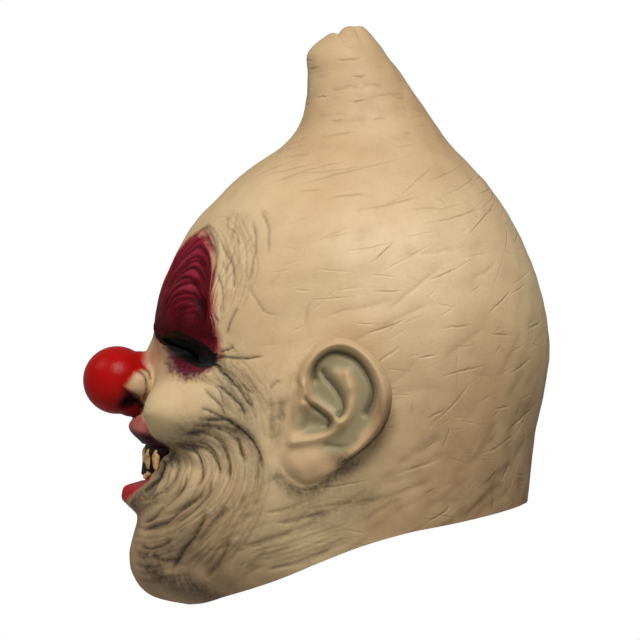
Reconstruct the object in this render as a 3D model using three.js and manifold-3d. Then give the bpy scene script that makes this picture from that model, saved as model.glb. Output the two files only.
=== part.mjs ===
// Over-the-head clown mask of slush-cast latex, in millimetres, +Z up, face towards -Y.
// The origin is where the wearer's crown bears, under the hollow topknot. One latex skin has
// the skull, topknot, ears, ball nose and lips. A lining and loose teeth sit behind its open mouth, and
// a patch of black gauze behind each eye slit.
import * as THREE from "three";
import { LoftGeometry } from "three/addons/geometries/LoftGeometry.js";
import { mergeVertices } from "three/addons/utils/BufferGeometryUtils.js";
import Module from "manifold-3d";

const wasm = await Module();
wasm.setup();

// Driving dimensions
const WALL = 2.2; // latex thickness
const GAP = 0.3; // clearance between separate pieces
const LINING = 1.8; // thickness of the mouth lining
const GAUZE = 1; // thickness of the eye gauze

// Level sections of the head from the topknot down. front and back are the midline outline,
// mid is where the section is widest, half its half width, square its corner exponent.
const SECTIONS = [
  { z: 84.8, front: -11, back: -1, mid: -6, half: 5, square: 2 },
  { z: 80, front: -26, back: 4, mid: -10, half: 14, square: 2 },
  { z: 69.6, front: -34, back: 12, mid: -11, half: 21.5, square: 2 },
  { z: 55, front: -35, back: 23, mid: -7, half: 26, square: 2 },
  { z: 41, front: -36, back: 32.4, mid: -3, half: 30, square: 2 },
  { z: 26, front: -39.6, back: 42.6, mid: 0, half: 35.5, square: 2 },
  { z: 13, front: -50, back: 52, mid: 0, half: 44, square: 2 },
  { z: -2, front: -71, back: 66, mid: 0, half: 58, square: 2.05 },
  { z: -17, front: -87.6, back: 79, mid: 0, half: 69, square: 2.1 },
  { z: -34, front: -103, back: 90, mid: 2, half: 79, square: 2.1 },
  { z: -54, front: -114.5, back: 99, mid: 4, half: 86, square: 2.15 },
  { z: -74, front: -122.5, back: 105.6, mid: 6, half: 90, square: 2.1 },
  { z: -94, front: -126, back: 109, mid: 6, half: 92.5, square: 2.08 },
  { z: -114, front: -126.5, back: 109.8, mid: 4, half: 93, square: 2.06 },
  { z: -134, front: -128, back: 107, mid: 0, half: 92, square: 2.06 },
  { z: -154, front: -130, back: 102.6, mid: -4, half: 90.5, square: 2.08 },
  { z: -174, front: -131, back: 99.8, mid: -8, half: 88.5, square: 2.1 },
  { z: -194, front: -133.5, back: 98.4, mid: -12, half: 86, square: 2.1 },
  { z: -214, front: -138, back: 96, mid: -16, half: 81, square: 2.1 },
  { z: -232, front: -141.5, back: 92, mid: -20, half: 73.5, square: 2.1 },
  { z: -246, front: -138, back: 86, mid: -22, half: 64, square: 2.1 },
  { z: -256, front: -128, back: 78, mid: -22, half: 53, square: 2 },
  { z: -262, front: -106, back: 66, mid: -20, half: 41, square: 2 },
  { z: -267, front: -74, back: 50, mid: -16, half: 28, square: 2 },
];

// Swellings and hollows of the face in front view: centre, reach each way, height out of the skin.
const SWELLINGS = [
  { name: "brow", x: 50, z: -86, inward: 24, outward: 18, up: 24, down: 12, height: 7 },
  { name: "eye_socket", x: 41, z: -110, inward: 20, outward: 20, up: 9, down: 9, height: -13 },
  { name: "nose_root", x: 0, z: -113, inward: 10, outward: 10, up: 9, down: 16, height: 6 },
  { name: "cheek", x: 45, z: -146, inward: 18, outward: 24, up: 20, down: 15, height: 16.5 },
  { name: "temple", x: 84, z: -96, inward: 12, outward: 14, up: 26, down: 22, height: -3 },
  { name: "jowl", x: 62, z: -202, inward: 20, outward: 20, up: 22, down: 22, height: 4 },
  { name: "chin_side", x: 43, z: -236, inward: 14, outward: 16, up: 14, down: 12, height: -4 },
  { name: "mouth_corner", x: 48, z: -171, inward: 7, outward: 9, up: 6, down: 8, height: -4 },
];

// Rolls and creases of the face in front view, each along a curve of three points [x, z].
const ROLLS = [
  { name: "philtrum", from: [0, -143], via: [0, -145.5], to: [0, -148], radius: 6, start: 5, end: 4 },
  { name: "upper_lip", from: [0, -156.5], via: [26, -156], to: [43, -165], radius: 8, start: 11, end: 2 },
  { name: "lower_lip", from: [0, -197], via: [17, -200], to: [34, -193.5], radius: 8.5, start: 12, end: 2.5 },
  { name: "brow_hood", from: [16, -96], via: [40, -94], to: [66, -110], radius: 5, start: 2.5, end: 4 },
  { name: "lower_lid", from: [20, -109], via: [42, -123], to: [64, -123], radius: 4, start: 2, end: 3 },
  { name: "smile_crease", from: [21, -138], via: [32, -168], to: [58, -178], radius: 5, start: -4, end: -3 },
  { name: "jaw_crease", from: [50, -180], via: [52, -206], to: [34, -222], radius: 5, start: -3, end: -2 },
];

const ROUND_COLUMNS = 42; // points round each section
const FRONT_CROWDING = 0.42; // below 1, the points crowd towards the face
const ROWS_BETWEEN = [1, 1, 1, 1, 1, 1, 1, 1, 1, 1, 1, 2, 2, 3, 2, 3, 3, 3, 2, 2, 1, 1, 1];

// Outline of the section table at any depth t, from 0 at the topknot to 1 at the bottom.
const outlines = {};
for (const column of ["front", "back", "mid", "half", "square"]) {
  outlines[column] = new THREE.SplineCurve(SECTIONS.map((s) => new THREE.Vector2(s.z, s[column])));
}

// A point of the plain head, turned by an angle from the face's midline towards +X.
function headPoint(turn, t) {
  const at = {};
  for (const column in outlines) at[column] = outlines[column].getPoint(t);
  const power = 2 / at.square.y;
  const across = Math.sign(Math.sin(turn)) * Math.abs(Math.sin(turn)) ** power;
  const along = Math.abs(Math.cos(turn)) ** power;
  const reach = Math.cos(turn) > 0 ? at.front.y - at.mid.y : at.back.y - at.mid.y;
  return new THREE.Vector3(at.half.y * across, at.mid.y + reach * along, at.front.x);
}

// The depth t at which the head has a given height.
function depthAt(z) {
  let low = 0;
  let high = 1;
  for (let i = 0; i < 40; i++) {
    const middle = (low + high) / 2;
    if (outlines.front.getPoint(middle).x > z) low = middle;
    else high = middle;
  }
  return low;
}

const TURN_STEP = 0.002;
const DEPTH_STEP = 0.0005;

// The outward normal of a surface function of turn and t.
function normalOf(surface, turn, t) {
  const low = Math.max(t - DEPTH_STEP, 0);
  const high = Math.min(t + DEPTH_STEP, 1);
  const round = surface(turn + TURN_STEP, t).sub(surface(turn - TURN_STEP, t));
  const down = surface(turn, high).sub(surface(turn, low));
  return down.cross(round).normalize();
}

function swellingHeight(row, x, z) {
  const side = (x - row.x) / (x > row.x ? row.outward : row.inward);
  const rise = (z - row.z) / (z > row.z ? row.up : row.down);
  return row.height * Math.exp(-side * side - rise * rise);
}

const ROLL_STEPS = 14;
for (const row of ROLLS) {
  const [from, via, to] = [row.from, row.via, row.to].map(([x, z]) => new THREE.Vector2(x, z));
  row.points = new THREE.QuadraticBezierCurve(from, via, to).getPoints(ROLL_STEPS);
}

function rollHeight(row, x, z) {
  let best = Infinity;
  let height = 0;
  row.points.forEach((p, i) => {
    const apart = Math.hypot(x - p.x, z - p.y) / row.radius;
    if (apart >= best) return;
    best = apart;
    height = THREE.MathUtils.lerp(row.start, row.end, i / ROLL_STEPS);
  });
  return height * Math.exp(-best * best);
}

// A point of the latex's outer face: the plain head with the swellings and rolls of the face on it.
function skinPoint(turn, t) {
  const point = headPoint(turn, t);
  const facing = THREE.MathUtils.smoothstep(Math.cos(turn), 0, 0.3);
  if (facing === 0) return point;
  const x = Math.abs(point.x);
  let height = 0;
  for (const row of SWELLINGS) height += swellingHeight(row, x, point.z);
  for (const row of ROLLS) height += rollHeight(row, x, point.z);
  return point.addScaledVector(normalOf(headPoint, turn, t), facing * height);
}

// The grid of turns and depths that the skin and the lining share.
const TURNS = [];
for (let i = 0; i < ROUND_COLUMNS; i++) {
  const share = (2 * i) / ROUND_COLUMNS - 1;
  TURNS.push(Math.PI * (FRONT_CROWDING * share + (1 - FRONT_CROWDING) * share ** 3));
}
const DEPTHS = [];
ROWS_BETWEEN.forEach((count, i) => {
  for (let k = 0; k < count; k++) DEPTHS.push((i + k / count) / (SECTIONS.length - 1));
});
DEPTHS.push(1);
DEPTHS.reverse();

// A point of the skin pushed inwards by a depth of material.
function sunkPoint(turn, t, sink) {
  const point = skinPoint(turn, t);
  return sink === 0 ? point : point.addScaledVector(normalOf(skinPoint, turn, t), -sink);
}

function solidOf(geometry) {
  const bare = geometry.index ? geometry.toNonIndexed() : geometry.clone();
  for (const name of Object.keys(bare.attributes)) if (name !== "position") bare.deleteAttribute(name);
  const merged = mergeVertices(bare, 1e-4);
  const vertProperties = new Float32Array(merged.attributes.position.array);
  const triVerts = new Uint32Array(merged.index.array);
  return new wasm.Manifold(new wasm.Mesh({ numProp: 3, vertProperties, triVerts }));
}

function geometryOf(solid) {
  const mesh = solid.getMesh();
  const geometry = new THREE.BufferGeometry();
  geometry.setAttribute("position", new THREE.BufferAttribute(mesh.vertProperties, 3));
  geometry.setIndex(new THREE.BufferAttribute(mesh.triVerts, 1));
  return geometry;
}

// The whole head as a closed solid, sunk by a depth of material.
function headSolid(sink) {
  const rings = DEPTHS.map((t) => TURNS.map((turn) => sunkPoint(turn, t, sink)));
  return solidOf(new LoftGeometry(rings, { capStart: true, capEnd: true }));
}

// A ball stretched to three radii, pitched about X and tilted about Y.
function ellipsoid({ x = 0, y, z, rx, ry, rz, pitch = 0, tilt = 0 }, around = 14, down = 9) {
  const geometry = new THREE.SphereGeometry(1, around, down);
  geometry.scale(rx, ry, rz).rotateX(pitch).rotateY(tilt).translate(x, y, z);
  return solidOf(geometry);
}

// Ball nose, its neck and base on the face, the wings beside it and the strut down to the lip
const NOSE_BALL = { y: -148.8, z: -127.2, rx: 20.4, ry: 20.4, rz: 20.4 };
const NOSE_NECK = { y: -135, z: -121, rx: 11, ry: 16, rz: 11.2 };
const NOSE_STRUT = { y: -139, z: -140, rx: 9.5, ry: 12, rz: 9.5 };
const NOSE_BASE = { y: -126, z: -129, rx: 15, ry: 9, rz: 15 };
const NOSE_WING = { x: 11.5, y: -135.5, z: -128.5, rx: 7.5, ry: 8.5, rz: 9.5, pitch: 0.5 };
const NOSTRIL = { x: 13, y: -139.5, z: -138, rx: 4.5, ry: 6, rz: 4, pitch: 0.5 };

const mirrored = (row) => ({ ...row, x: -row.x, tilt: -(row.tilt ?? 0) });
const thinned = (row) => ({ ...row, rx: row.rx - WALL, ry: row.ry - WALL, rz: row.rz - WALL });

function noseSolid() {
  return ellipsoid(NOSE_BALL, 20, 14)
    .add(ellipsoid(NOSE_NECK))
    .add(ellipsoid(NOSE_BASE))
    .add(ellipsoid(NOSE_STRUT))
    .add(ellipsoid(NOSE_WING))
    .add(ellipsoid(mirrored(NOSE_WING)));
}

const noseHollow = () => ellipsoid(thinned(NOSE_BALL)).add(ellipsoid(thinned(NOSE_NECK)));

// Ear: a flap seen from the side, with back and up in its own plane, from the ear's centre.
const EAR_PLACE = { x: 91.5, y: -20, z: -147.3, flare: 0.4 }; // flare turns its back edge out, in radians
const EAR_FLAP = 6;
const EAR_OUTLINE = [
  { back: 6, up: 44 },
  { back: 25, up: 34 },
  { back: 33, up: 11 },
  { back: 26, up: -12 },
  { back: 11, up: -31 },
  { back: -14, up: -45 },
  { back: -30, up: -38 },
  { back: -33, up: -18 },
  { back: -27, up: 4 },
  { back: -23, up: 24 },
  { back: -14, up: 38 },
];
const EAR_FOLDS = [
  { name: "helix_front", from: [-15, 4], via: [-22, 30], to: [-4, 39], radius: 5, height: 6 },
  { name: "helix_back", from: [-4, 39], via: [27, 42], to: [28, 10], radius: 5, height: 7 },
  { name: "helix_tail", from: [28, 10], via: [26, -12], to: [6, -28], radius: 5, height: 5 },
  { name: "antihelix", from: [-2, 30], via: [14, 4], to: [-14, -13], radius: 5, height: 5 },
  { name: "tragus", from: [-27, 4], via: [-24, -2], to: [-24, -8], radius: 5, height: 5 },
  { name: "lobe", from: [-16, -30], via: [-14, -33], to: [-12, -34], radius: 12, height: 5 },
  { name: "concha", from: [-13, 0], via: [-10, -3], to: [-8, -6], radius: 9, height: -6 },
];
const EAR_ROUND = 20;
const EAR_RINGS = [0.15, 0.4, 0.6, 0.78, 0.9, 1];
const EAR_REAR_RINGS = [0.97, 0.5];

function earHeight(back, up) {
  let height = 0;
  for (const row of EAR_FOLDS) {
    const curve = new THREE.QuadraticBezierCurve(
      new THREE.Vector2(...row.from),
      new THREE.Vector2(...row.via),
      new THREE.Vector2(...row.to),
    );
    const apart = Math.min(...curve.getPoints(8).map((p) => Math.hypot(back - p.x, up - p.y)));
    height += row.height * Math.exp(-((apart / row.radius) ** 2));
  }
  return height;
}

function earSolid() {
  const corners = EAR_OUTLINE.map((p) => new THREE.Vector3(p.back, p.up, 0));
  const outline = new THREE.CatmullRomCurve3(corners, true).getPoints(EAR_ROUND).slice(0, EAR_ROUND);
  const ring = (share, out) =>
    outline.map((p) => new THREE.Vector3(p.x * share, p.y * share, out(p.x * share, p.y * share)));
  const front = EAR_RINGS.map((share) => ring(share, earHeight));
  const rear = EAR_REAR_RINGS.map((share) => ring(share, () => -EAR_FLAP * (1.2 - 0.4 * share)));
  const geometry = new LoftGeometry([...front, ...rear], { capStart: true, capEnd: true });
  const flare = new THREE.Matrix4().makeRotationZ(-EAR_PLACE.flare);
  const stand = new THREE.Matrix4().makeBasis(
    new THREE.Vector3(0, 1, 0),
    new THREE.Vector3(0, 0, 1),
    new THREE.Vector3(1, 0, 0),
  );
  geometry.applyMatrix4(stand).applyMatrix4(flare);
  geometry.translate(EAR_PLACE.x, EAR_PLACE.y, EAR_PLACE.z);
  return solidOf(geometry);
}

// Openings through the skin: eye slits, mouth and neck
const EYE_SLIT = { x: 41, y: -104, z: -109, rx: 23, ry: 34, rz: 4.6, tilt: 0.32 };
const MOUTH = { half: 43, corner: -166, top: -165, bottom: -187.5, near: -100, far: -160 };
const MOUTH_DROOP = 3.5; // power of the lower edge's curve, higher where its corners are squarer
const MOUTH_STEPS = 12;

function mouthCutter() {
  const shape = new THREE.Shape();
  shape.moveTo(-MOUTH.half, MOUTH.corner);
  shape.quadraticCurveTo(0, 2 * MOUTH.top - MOUTH.corner, MOUTH.half, MOUTH.corner);
  for (let i = 1; i <= MOUTH_STEPS; i++) {
    const share = 1 - (2 * i) / MOUTH_STEPS;
    const rise = Math.abs(share) ** MOUTH_DROOP;
    shape.lineTo(share * MOUTH.half, THREE.MathUtils.lerp(MOUTH.bottom, MOUTH.corner, rise));
  }
  const depth = MOUTH.near - MOUTH.far;
  const geometry = new THREE.ExtrudeGeometry(shape, { depth, bevelEnabled: false, curveSegments: 12 });
  geometry.rotateX(Math.PI / 2).translate(0, MOUTH.near, 0);
  return solidOf(geometry);
}

// The neck rim in side view, from under the chin to the nape, as [y, z]
const RIM = [
  [-160, -266],
  [-102, -260.5],
  [-72, -251.5],
  [-36, -237.2],
  [0, -222.8],
  [36, -213.6],
  [72, -206.6],
  [98, -199.8],
  [130, -189],
];
const RIM_SIDE = 130; // half the width of the cut
const RIM_DEPTH = -330;

function neckCutter() {
  const shape = new THREE.Shape(RIM.map(([y, z]) => new THREE.Vector2(y, z)));
  shape.lineTo(RIM.at(-1)[0], RIM_DEPTH);
  shape.lineTo(RIM[0][0], RIM_DEPTH);
  const geometry = new THREE.ExtrudeGeometry(shape, { depth: 2 * RIM_SIDE, bevelEnabled: false });
  const stand = new THREE.Matrix4().makeBasis(
    new THREE.Vector3(0, 1, 0),
    new THREE.Vector3(0, 0, 1),
    new THREE.Vector3(1, 0, 0),
  );
  geometry.applyMatrix4(stand).translate(-RIM_SIDE, 0, 0);
  return solidOf(geometry);
}

function skinSolid() {
  const ear = earSolid();
  const slit = ellipsoid(EYE_SLIT, 16, 8);
  const nostril = ellipsoid(NOSTRIL, 10, 6);
  return headSolid(0)
    .add(noseSolid())
    .add(ear)
    .add(ear.mirror([1, 0, 0]))
    .subtract(headSolid(WALL))
    .subtract(noseHollow())
    .subtract(slit)
    .subtract(slit.mirror([1, 0, 0]))
    .subtract(nostril)
    .subtract(nostril.mirror([1, 0, 0]))
    .subtract(mouthCutter())
    .subtract(neckCutter());
}

// Lining behind the mouth: a patch parallel to the skin's inner face
const LINING_TURN = 0.62; // how far round from the midline it reaches, in radians
const LINING_ROWS = { top: -154, bottom: -204 }; // heights between which it follows the skin
const LINING_TOP = -160.5; // level of its trimmed upper edge

// The part of the mouth patch between two depths below the skin's outer face.
function mouthPatch(near, far) {
  const depths = DEPTHS.filter((t) => {
    const { z } = headPoint(0, t);
    return z < LINING_ROWS.top && z > LINING_ROWS.bottom;
  });
  const turns = TURNS.filter((turn) => Math.abs(turn) < LINING_TURN);
  const loops = depths.map((t) => [
    ...turns.map((turn) => sunkPoint(turn, t, near)),
    ...[...turns].reverse().map((turn) => sunkPoint(turn, t, far)),
  ]);
  const patch = solidOf(new LoftGeometry(loops, { capStart: true, capEnd: true }));
  return patch.trimByPlane([0, 0, -1], -LINING_TOP);
}

// Gauze behind each eye slit: a patch bowed to the hollow of the eye socket, clear of the skin
const GAUZE_TURNS = { from: 0.16, to: 0.8, count: 10 }; // radians from the midline
const GAUZE_HEIGHTS = { from: -97, to: -122, count: 9 };
const GAUZE_SINK = 2.4; // from the bare socket's hollow to the gauze
const socket = SWELLINGS.find((row) => row.name === "eye_socket");

const spaced = ({ from, to, count }) =>
  Array.from({ length: count }, (_, i) => THREE.MathUtils.lerp(from, to, i / (count - 1)));

function gauzeSolid() {
  const turns = spaced(GAUZE_TURNS);
  const gauzePoint = (turn, t, sink) => {
    const point = headPoint(turn, t);
    const hollow = swellingHeight(socket, point.x, point.z);
    return point.addScaledVector(normalOf(headPoint, turn, t), hollow - sink);
  };
  const loops = spaced(GAUZE_HEIGHTS).map((z) => {
    const t = depthAt(z);
    return [
      ...turns.map((turn) => gauzePoint(turn, t, GAUZE_SINK)),
      ...[...turns].reverse().map((turn) => gauzePoint(turn, t, GAUZE_SINK + GAUZE)),
    ];
  });
  return solidOf(new LoftGeometry(loops.reverse(), { capStart: true, capEnd: true }));
}

// Teeth: a row of pegs above and below on each side of the midline, root to tip, on the lining
const TOOTH_THICK = 7;
const TOOTH_SEAT = 2.6; // depth of root taken off where the peg meets the lining
const TOOTH_ROUNDING = 0.9;
const TEETH = [
  { name: "upper_tooth_front", x: 18.5, root: -167, tip: -176.6, width: 5.6, lean: -0.1 },
  { name: "upper_tooth_middle", x: 25.6, root: -167, tip: -179.4, width: 6.4, lean: 0.08 },
  { name: "upper_tooth_back", x: 33.4, root: -167.5, tip: -175.4, width: 6.6, lean: 0.04 },
  { name: "lower_tooth_front", x: 17, root: -185.4, tip: -182.2, width: 4.5, lean: 0.04 },
  { name: "lower_tooth_back", x: 23.4, root: -183.4, tip: -180.4, width: 4.4, lean: -0.06 },
];

// Where the plain head has a given x and z on the front of the face.
function placeOnFace(x, z) {
  const t = depthAt(z);
  const half = outlines.half.getPoint(t).y;
  const square = outlines.square.getPoint(t).y;
  return { turn: Math.asin((x / half) ** (square / 2)), t };
}

function toothGeometry(row) {
  const length = Math.abs(row.root - row.tip) - 2 * TOOTH_ROUNDING;
  const wide = row.width / 2 - TOOTH_ROUNDING;
  const shape = new THREE.Shape();
  shape.moveTo(-0.75 * wide, 0);
  shape.lineTo(0.75 * wide, 0);
  shape.lineTo(wide, 0.35 * length);
  shape.quadraticCurveTo(0.7 * wide, length, 0, length);
  shape.quadraticCurveTo(-0.7 * wide, length, -wide, 0.35 * length);
  const geometry = new THREE.ExtrudeGeometry(shape, {
    depth: TOOTH_THICK - 2 * TOOTH_ROUNDING,
    bevelSize: TOOTH_ROUNDING,
    bevelThickness: TOOTH_ROUNDING,
    bevelSegments: 1,
    curveSegments: 3,
  });
  geometry.translate(0, TOOTH_ROUNDING, TOOTH_ROUNDING);

  // The peg grows from its root along the face, leans a little and looks out of the mouth.
  const sign = Math.sign(row.tip - row.root);
  const middle = placeOnFace(row.x, (row.root + row.tip) / 2);
  const out = normalOf(headPoint, middle.turn, middle.t).setZ(0).normalize();
  const grow = new THREE.Vector3(0, 0, sign);
  geometry.rotateZ(row.lean).applyMatrix4(
    new THREE.Matrix4().makeBasis(new THREE.Vector3().crossVectors(grow, out), grow, out),
  );

  const foot = sunkPoint(middle.turn, middle.t, WALL + TOOTH_SEAT).setZ(row.root);
  return geometry.translate(foot.x, foot.y, foot.z);
}

const SKIN_COLOUR = new THREE.MeshStandardMaterial({ color: 0xd6ba91, roughness: 0.55, metalness: 0 });
const LINING_COLOUR = new THREE.MeshStandardMaterial({ color: 0x2a0d10, roughness: 0.6, metalness: 0 });
const GAUZE_COLOUR = new THREE.MeshStandardMaterial({ color: 0x12100f, roughness: 0.9, metalness: 0 });
const TOOTH_COLOUR = new THREE.MeshStandardMaterial({ color: 0xc9a06a, roughness: 0.4, metalness: 0 });

const mask = new THREE.Group();

function addPiece(name, geometry, material) {
  const mesh = new THREE.Mesh(geometry, material);
  mesh.name = name;
  mask.add(mesh);
  return mesh;
}

addPiece("latex_skin", geometryOf(skinSolid()), SKIN_COLOUR);
addPiece("mouth_lining", geometryOf(mouthPatch(WALL + GAP, WALL + GAP + LINING)), LINING_COLOUR);
const gauze = gauzeSolid();
addPiece("eye_gauze_left", geometryOf(gauze), GAUZE_COLOUR);
addPiece("eye_gauze_right", geometryOf(gauze.mirror([1, 0, 0])), GAUZE_COLOUR);
const toothTrim = mouthPatch(WALL, WALL + TOOTH_THICK);
for (const row of TEETH) {
  const tooth = solidOf(toothGeometry(row)).subtract(toothTrim);
  addPiece(`${row.name}_left`, geometryOf(tooth), TOOTH_COLOUR);
  addPiece(`${row.name}_right`, geometryOf(tooth.mirror([1, 0, 0])), TOOTH_COLOUR);
}

export default mask;
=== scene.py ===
import bpy
import numpy as np
from mathutils import Euler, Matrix, Vector, bvhtree, kdtree


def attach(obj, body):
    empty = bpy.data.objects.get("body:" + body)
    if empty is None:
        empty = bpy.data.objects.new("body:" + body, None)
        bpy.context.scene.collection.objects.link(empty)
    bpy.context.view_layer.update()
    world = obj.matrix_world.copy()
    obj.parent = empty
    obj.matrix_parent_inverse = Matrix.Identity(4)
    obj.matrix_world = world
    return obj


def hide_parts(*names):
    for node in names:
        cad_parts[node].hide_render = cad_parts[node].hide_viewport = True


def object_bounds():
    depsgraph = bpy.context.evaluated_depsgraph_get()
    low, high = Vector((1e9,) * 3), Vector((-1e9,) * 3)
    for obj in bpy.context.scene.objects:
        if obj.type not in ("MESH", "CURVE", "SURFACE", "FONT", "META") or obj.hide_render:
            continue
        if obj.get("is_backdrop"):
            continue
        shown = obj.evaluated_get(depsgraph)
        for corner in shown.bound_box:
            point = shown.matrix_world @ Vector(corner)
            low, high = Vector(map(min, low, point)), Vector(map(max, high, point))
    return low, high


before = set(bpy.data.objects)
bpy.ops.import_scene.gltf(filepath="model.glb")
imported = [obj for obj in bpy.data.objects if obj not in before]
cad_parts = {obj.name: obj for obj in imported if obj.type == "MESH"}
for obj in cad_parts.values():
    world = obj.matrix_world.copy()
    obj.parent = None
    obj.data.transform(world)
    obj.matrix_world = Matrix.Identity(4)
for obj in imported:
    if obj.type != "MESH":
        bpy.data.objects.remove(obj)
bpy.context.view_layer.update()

bpy.ops.object.select_all(action="DESELECT")

# Latex skin
# The mask itself: one slush-cast latex skin, two millimetres thick, that covers the whole head. The clay
# sculpt's folds are in the casting. It is shaped here in millimetres, with the face towards -Y.
MM = 0.001
WALL = 2.2

# Level sections from the topknot down: height, front and back on the midline, widest place, half width
# and squareness.
HEAD_SECTIONS = [
    (84.8, -11, -1, -6, 5, 2),
    (80, -22.5, 4, -9, 13, 2),
    (69.6, -34, 12, -11, 21.5, 2),
    (55, -35, 23, -7, 26, 2),
    (41, -36, 32.4, -3, 30, 2),
    (26, -39.6, 42.6, 0, 35.5, 2),
    (13, -50, 52, 0, 44, 2),
    (-2, -71, 66, 0, 58, 2.05),
    (-17, -87.6, 79, 0, 69, 2.1),
    (-34, -103, 90, 2, 79, 2.1),
    (-54, -114.5, 99, 4, 86, 2.15),
    (-74, -122.5, 105.6, 6, 90, 2.1),
    (-94, -126, 109, 6, 92.5, 2.08),
    (-114, -126.5, 109.8, 4, 93, 2.06),
    (-134, -128, 107, 0, 92, 2.06),
    (-154, -130, 102.6, -4, 90.5, 2.08),
    (-174, -131, 99.8, -8, 88.5, 2.1),
    (-194, -133.5, 98.4, -12, 86, 2.1),
    (-214, -138, 96, -16, 81, 2.1),
    (-232, -141.5, 92, -20, 73.5, 2.1),
    (-246, -138, 86, -22, 64, 2.1),
    (-256, -128, 78, -22, 53, 2),
    (-262, -106, 66, -20, 41, 2),
    (-267, -74, 50, -16, 28, 2),
]

# Swellings and hollows of the face in front view: centre, reach inwards, outwards, up and down, height.
SWELLINGS = {
    "brow": (50, -86, 24, 18, 24, 12, 7),
    "eye_socket": (41, -110, 20, 20, 9, 9, -13),
    "nose_root": (0, -113, 10, 10, 9, 16, 6),
    "cheek": (45, -146, 18, 24, 20, 15, 16.5),
    "temple": (84, -96, 12, 14, 26, 22, -3),
    "jowl": (62, -202, 20, 20, 22, 22, 4),
    "chin_side": (43, -236, 14, 16, 14, 12, -4),
    "mouth_corner": (48, -171, 7, 9, 6, 8, -4),
}

# Rolls and creases of the face in front view: places along it, radius, height at its start and end, and
# the power of its slope, higher where its back is flatter.
ROLLS = {
    "philtrum": ([(0, -143), (0, -145.5), (0, -148)], 6, 5, 4, 2),
    "upper_lip": ([(0, -156.5), (23.8, -158.5), (43, -165)], 8, 11, 2, 2),
    "lower_lip": ([(0, -197), (17, -197.9), (34, -193.5)], 8, 12, 2.5, 4),
    "brow_hood": ([(16, -96), (40.5, -98.5), (66, -110)], 5, 1.5, 4, 2),
    "lower_lid": ([(20, -109), (42, -119.5), (64, -123)], 4, 2, 3, 2),
    "smile_crease": ([(21, -138), (35.8, -163), (58, -178)], 5, -4, -3, 2),
    "jaw_crease": ([(50, -180), (47, -203.5), (34, -222)], 5, -3, -2, 2),
}


def along_curve(places, share):
    """Points of the smooth curve through some places, at shares of its way from 0 to 1."""
    places = np.asarray(places, float)
    last = len(places) - 1
    way = np.clip(share, 0, 1) * last
    first = np.minimum(way.astype(int), last - 1)
    w = (way - first)[..., None]
    p0, p1, p2, p3 = (places[np.clip(first + k, 0, last)] for k in (-1, 0, 1, 2))
    v0, v1 = (p2 - p0) / 2, (p3 - p1) / 2
    return (2 * p1 - 2 * p2 + v0 + v1) * w**3 + (3 * p2 - 3 * p1 - 2 * v0 - v1) * w**2 + v0 * w + p1


def smoothstep(value, low, high):
    """0 at low and 1 at high, with a soft start and end."""
    w = np.clip((value - low) / (high - low), 0, 1)
    return w * w * (3 - 2 * w)


def near_path(x, z, path):
    """Distance of each place from a path of points, and the share along the path where it is nearest."""
    start, step = path[:-1], np.diff(path, axis=0)
    length = np.maximum((step**2).sum(-1), 1e-9)
    dx, dz = x[:, None] - start[:, 0], z[:, None] - start[:, 1]
    share = np.clip((dx * step[:, 0] + dz * step[:, 1]) / length, 0, 1)
    apart = np.hypot(dx - share * step[:, 0], dz - share * step[:, 1])
    nearest = apart.argmin(1)
    pick = np.arange(len(x))
    return apart[pick, nearest], (nearest + share[pick, nearest]) / len(step)


def head_points(turn, section):
    """Points of the plain head, turned from the face's midline towards +X."""
    z, front, back, mid, half, square = np.moveaxis(section, -1, 0)
    power = 2 / square
    across = np.sign(np.sin(turn)) * np.abs(np.sin(turn)) ** power
    reach = np.where(np.cos(turn) > 0, front - mid, back - mid)
    return np.stack([half * across, mid + reach * np.abs(np.cos(turn)) ** power, z], axis=-1)


def grid_normals(points):
    """Outward normals of a grid of points, with rows going down and columns going round."""
    wrapped = np.concatenate([points[:, -1:], points, points[:, :1]], axis=1)
    normal = np.cross(np.gradient(points, axis=0), wrapped[:, 2:] - wrapped[:, :-2])
    return normal / np.maximum(np.linalg.norm(normal, axis=-1, keepdims=True), 1e-9)


def face_height(x, z):
    """Height of the face's forms over the plain head."""
    height = np.zeros_like(x)
    for centre, middle, inward, outward, up, down, top in SWELLINGS.values():
        side = (x - centre) / np.where(x > centre, outward, inward)
        rise = (z - middle) / np.where(z > middle, up, down)
        height += top * np.exp(-(side**2) - rise**2)
    for places, radius, start, end, power in ROLLS.values():
        apart, share = near_path(x, z, along_curve(places, np.linspace(0, 1, 25)))
        height += (start + (end - start) * share) * np.exp(-((apart / radius) ** power))
    return height


ROWS, COLUMNS = 660, 780
FRONT_CROWDING = 0.62  # below 1, the columns crowd towards the face
# Shares of the rows, and shares of the section table that they reach: the rows crowd below the brow.
ROW_SHARES, ROW_REACHES = (0, 0.14, 0.3, 0.95, 1), (0, 6 / 23, 9 / 23, 20 / 23, 1)
share_round = np.arange(COLUMNS) * 2 / COLUMNS - 1
turn, depth = np.meshgrid(
    np.pi * (FRONT_CROWDING * share_round + (1 - FRONT_CROWDING) * share_round**3),
    np.interp(np.linspace(0, 1, ROWS), ROW_SHARES, ROW_REACHES),
)
section = along_curve(HEAD_SECTIONS, depth)
plain = head_points(turn, section)
level = plain[..., 2]
facing = smoothstep(np.cos(turn), 0, 0.3)
front_half = facing > 0
form = np.zeros_like(turn)
form[front_half] = face_height(np.abs(plain[..., 0][front_half]), level[front_half])
shaped = plain + grid_normals(plain) * (form * facing)[..., None]

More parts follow.
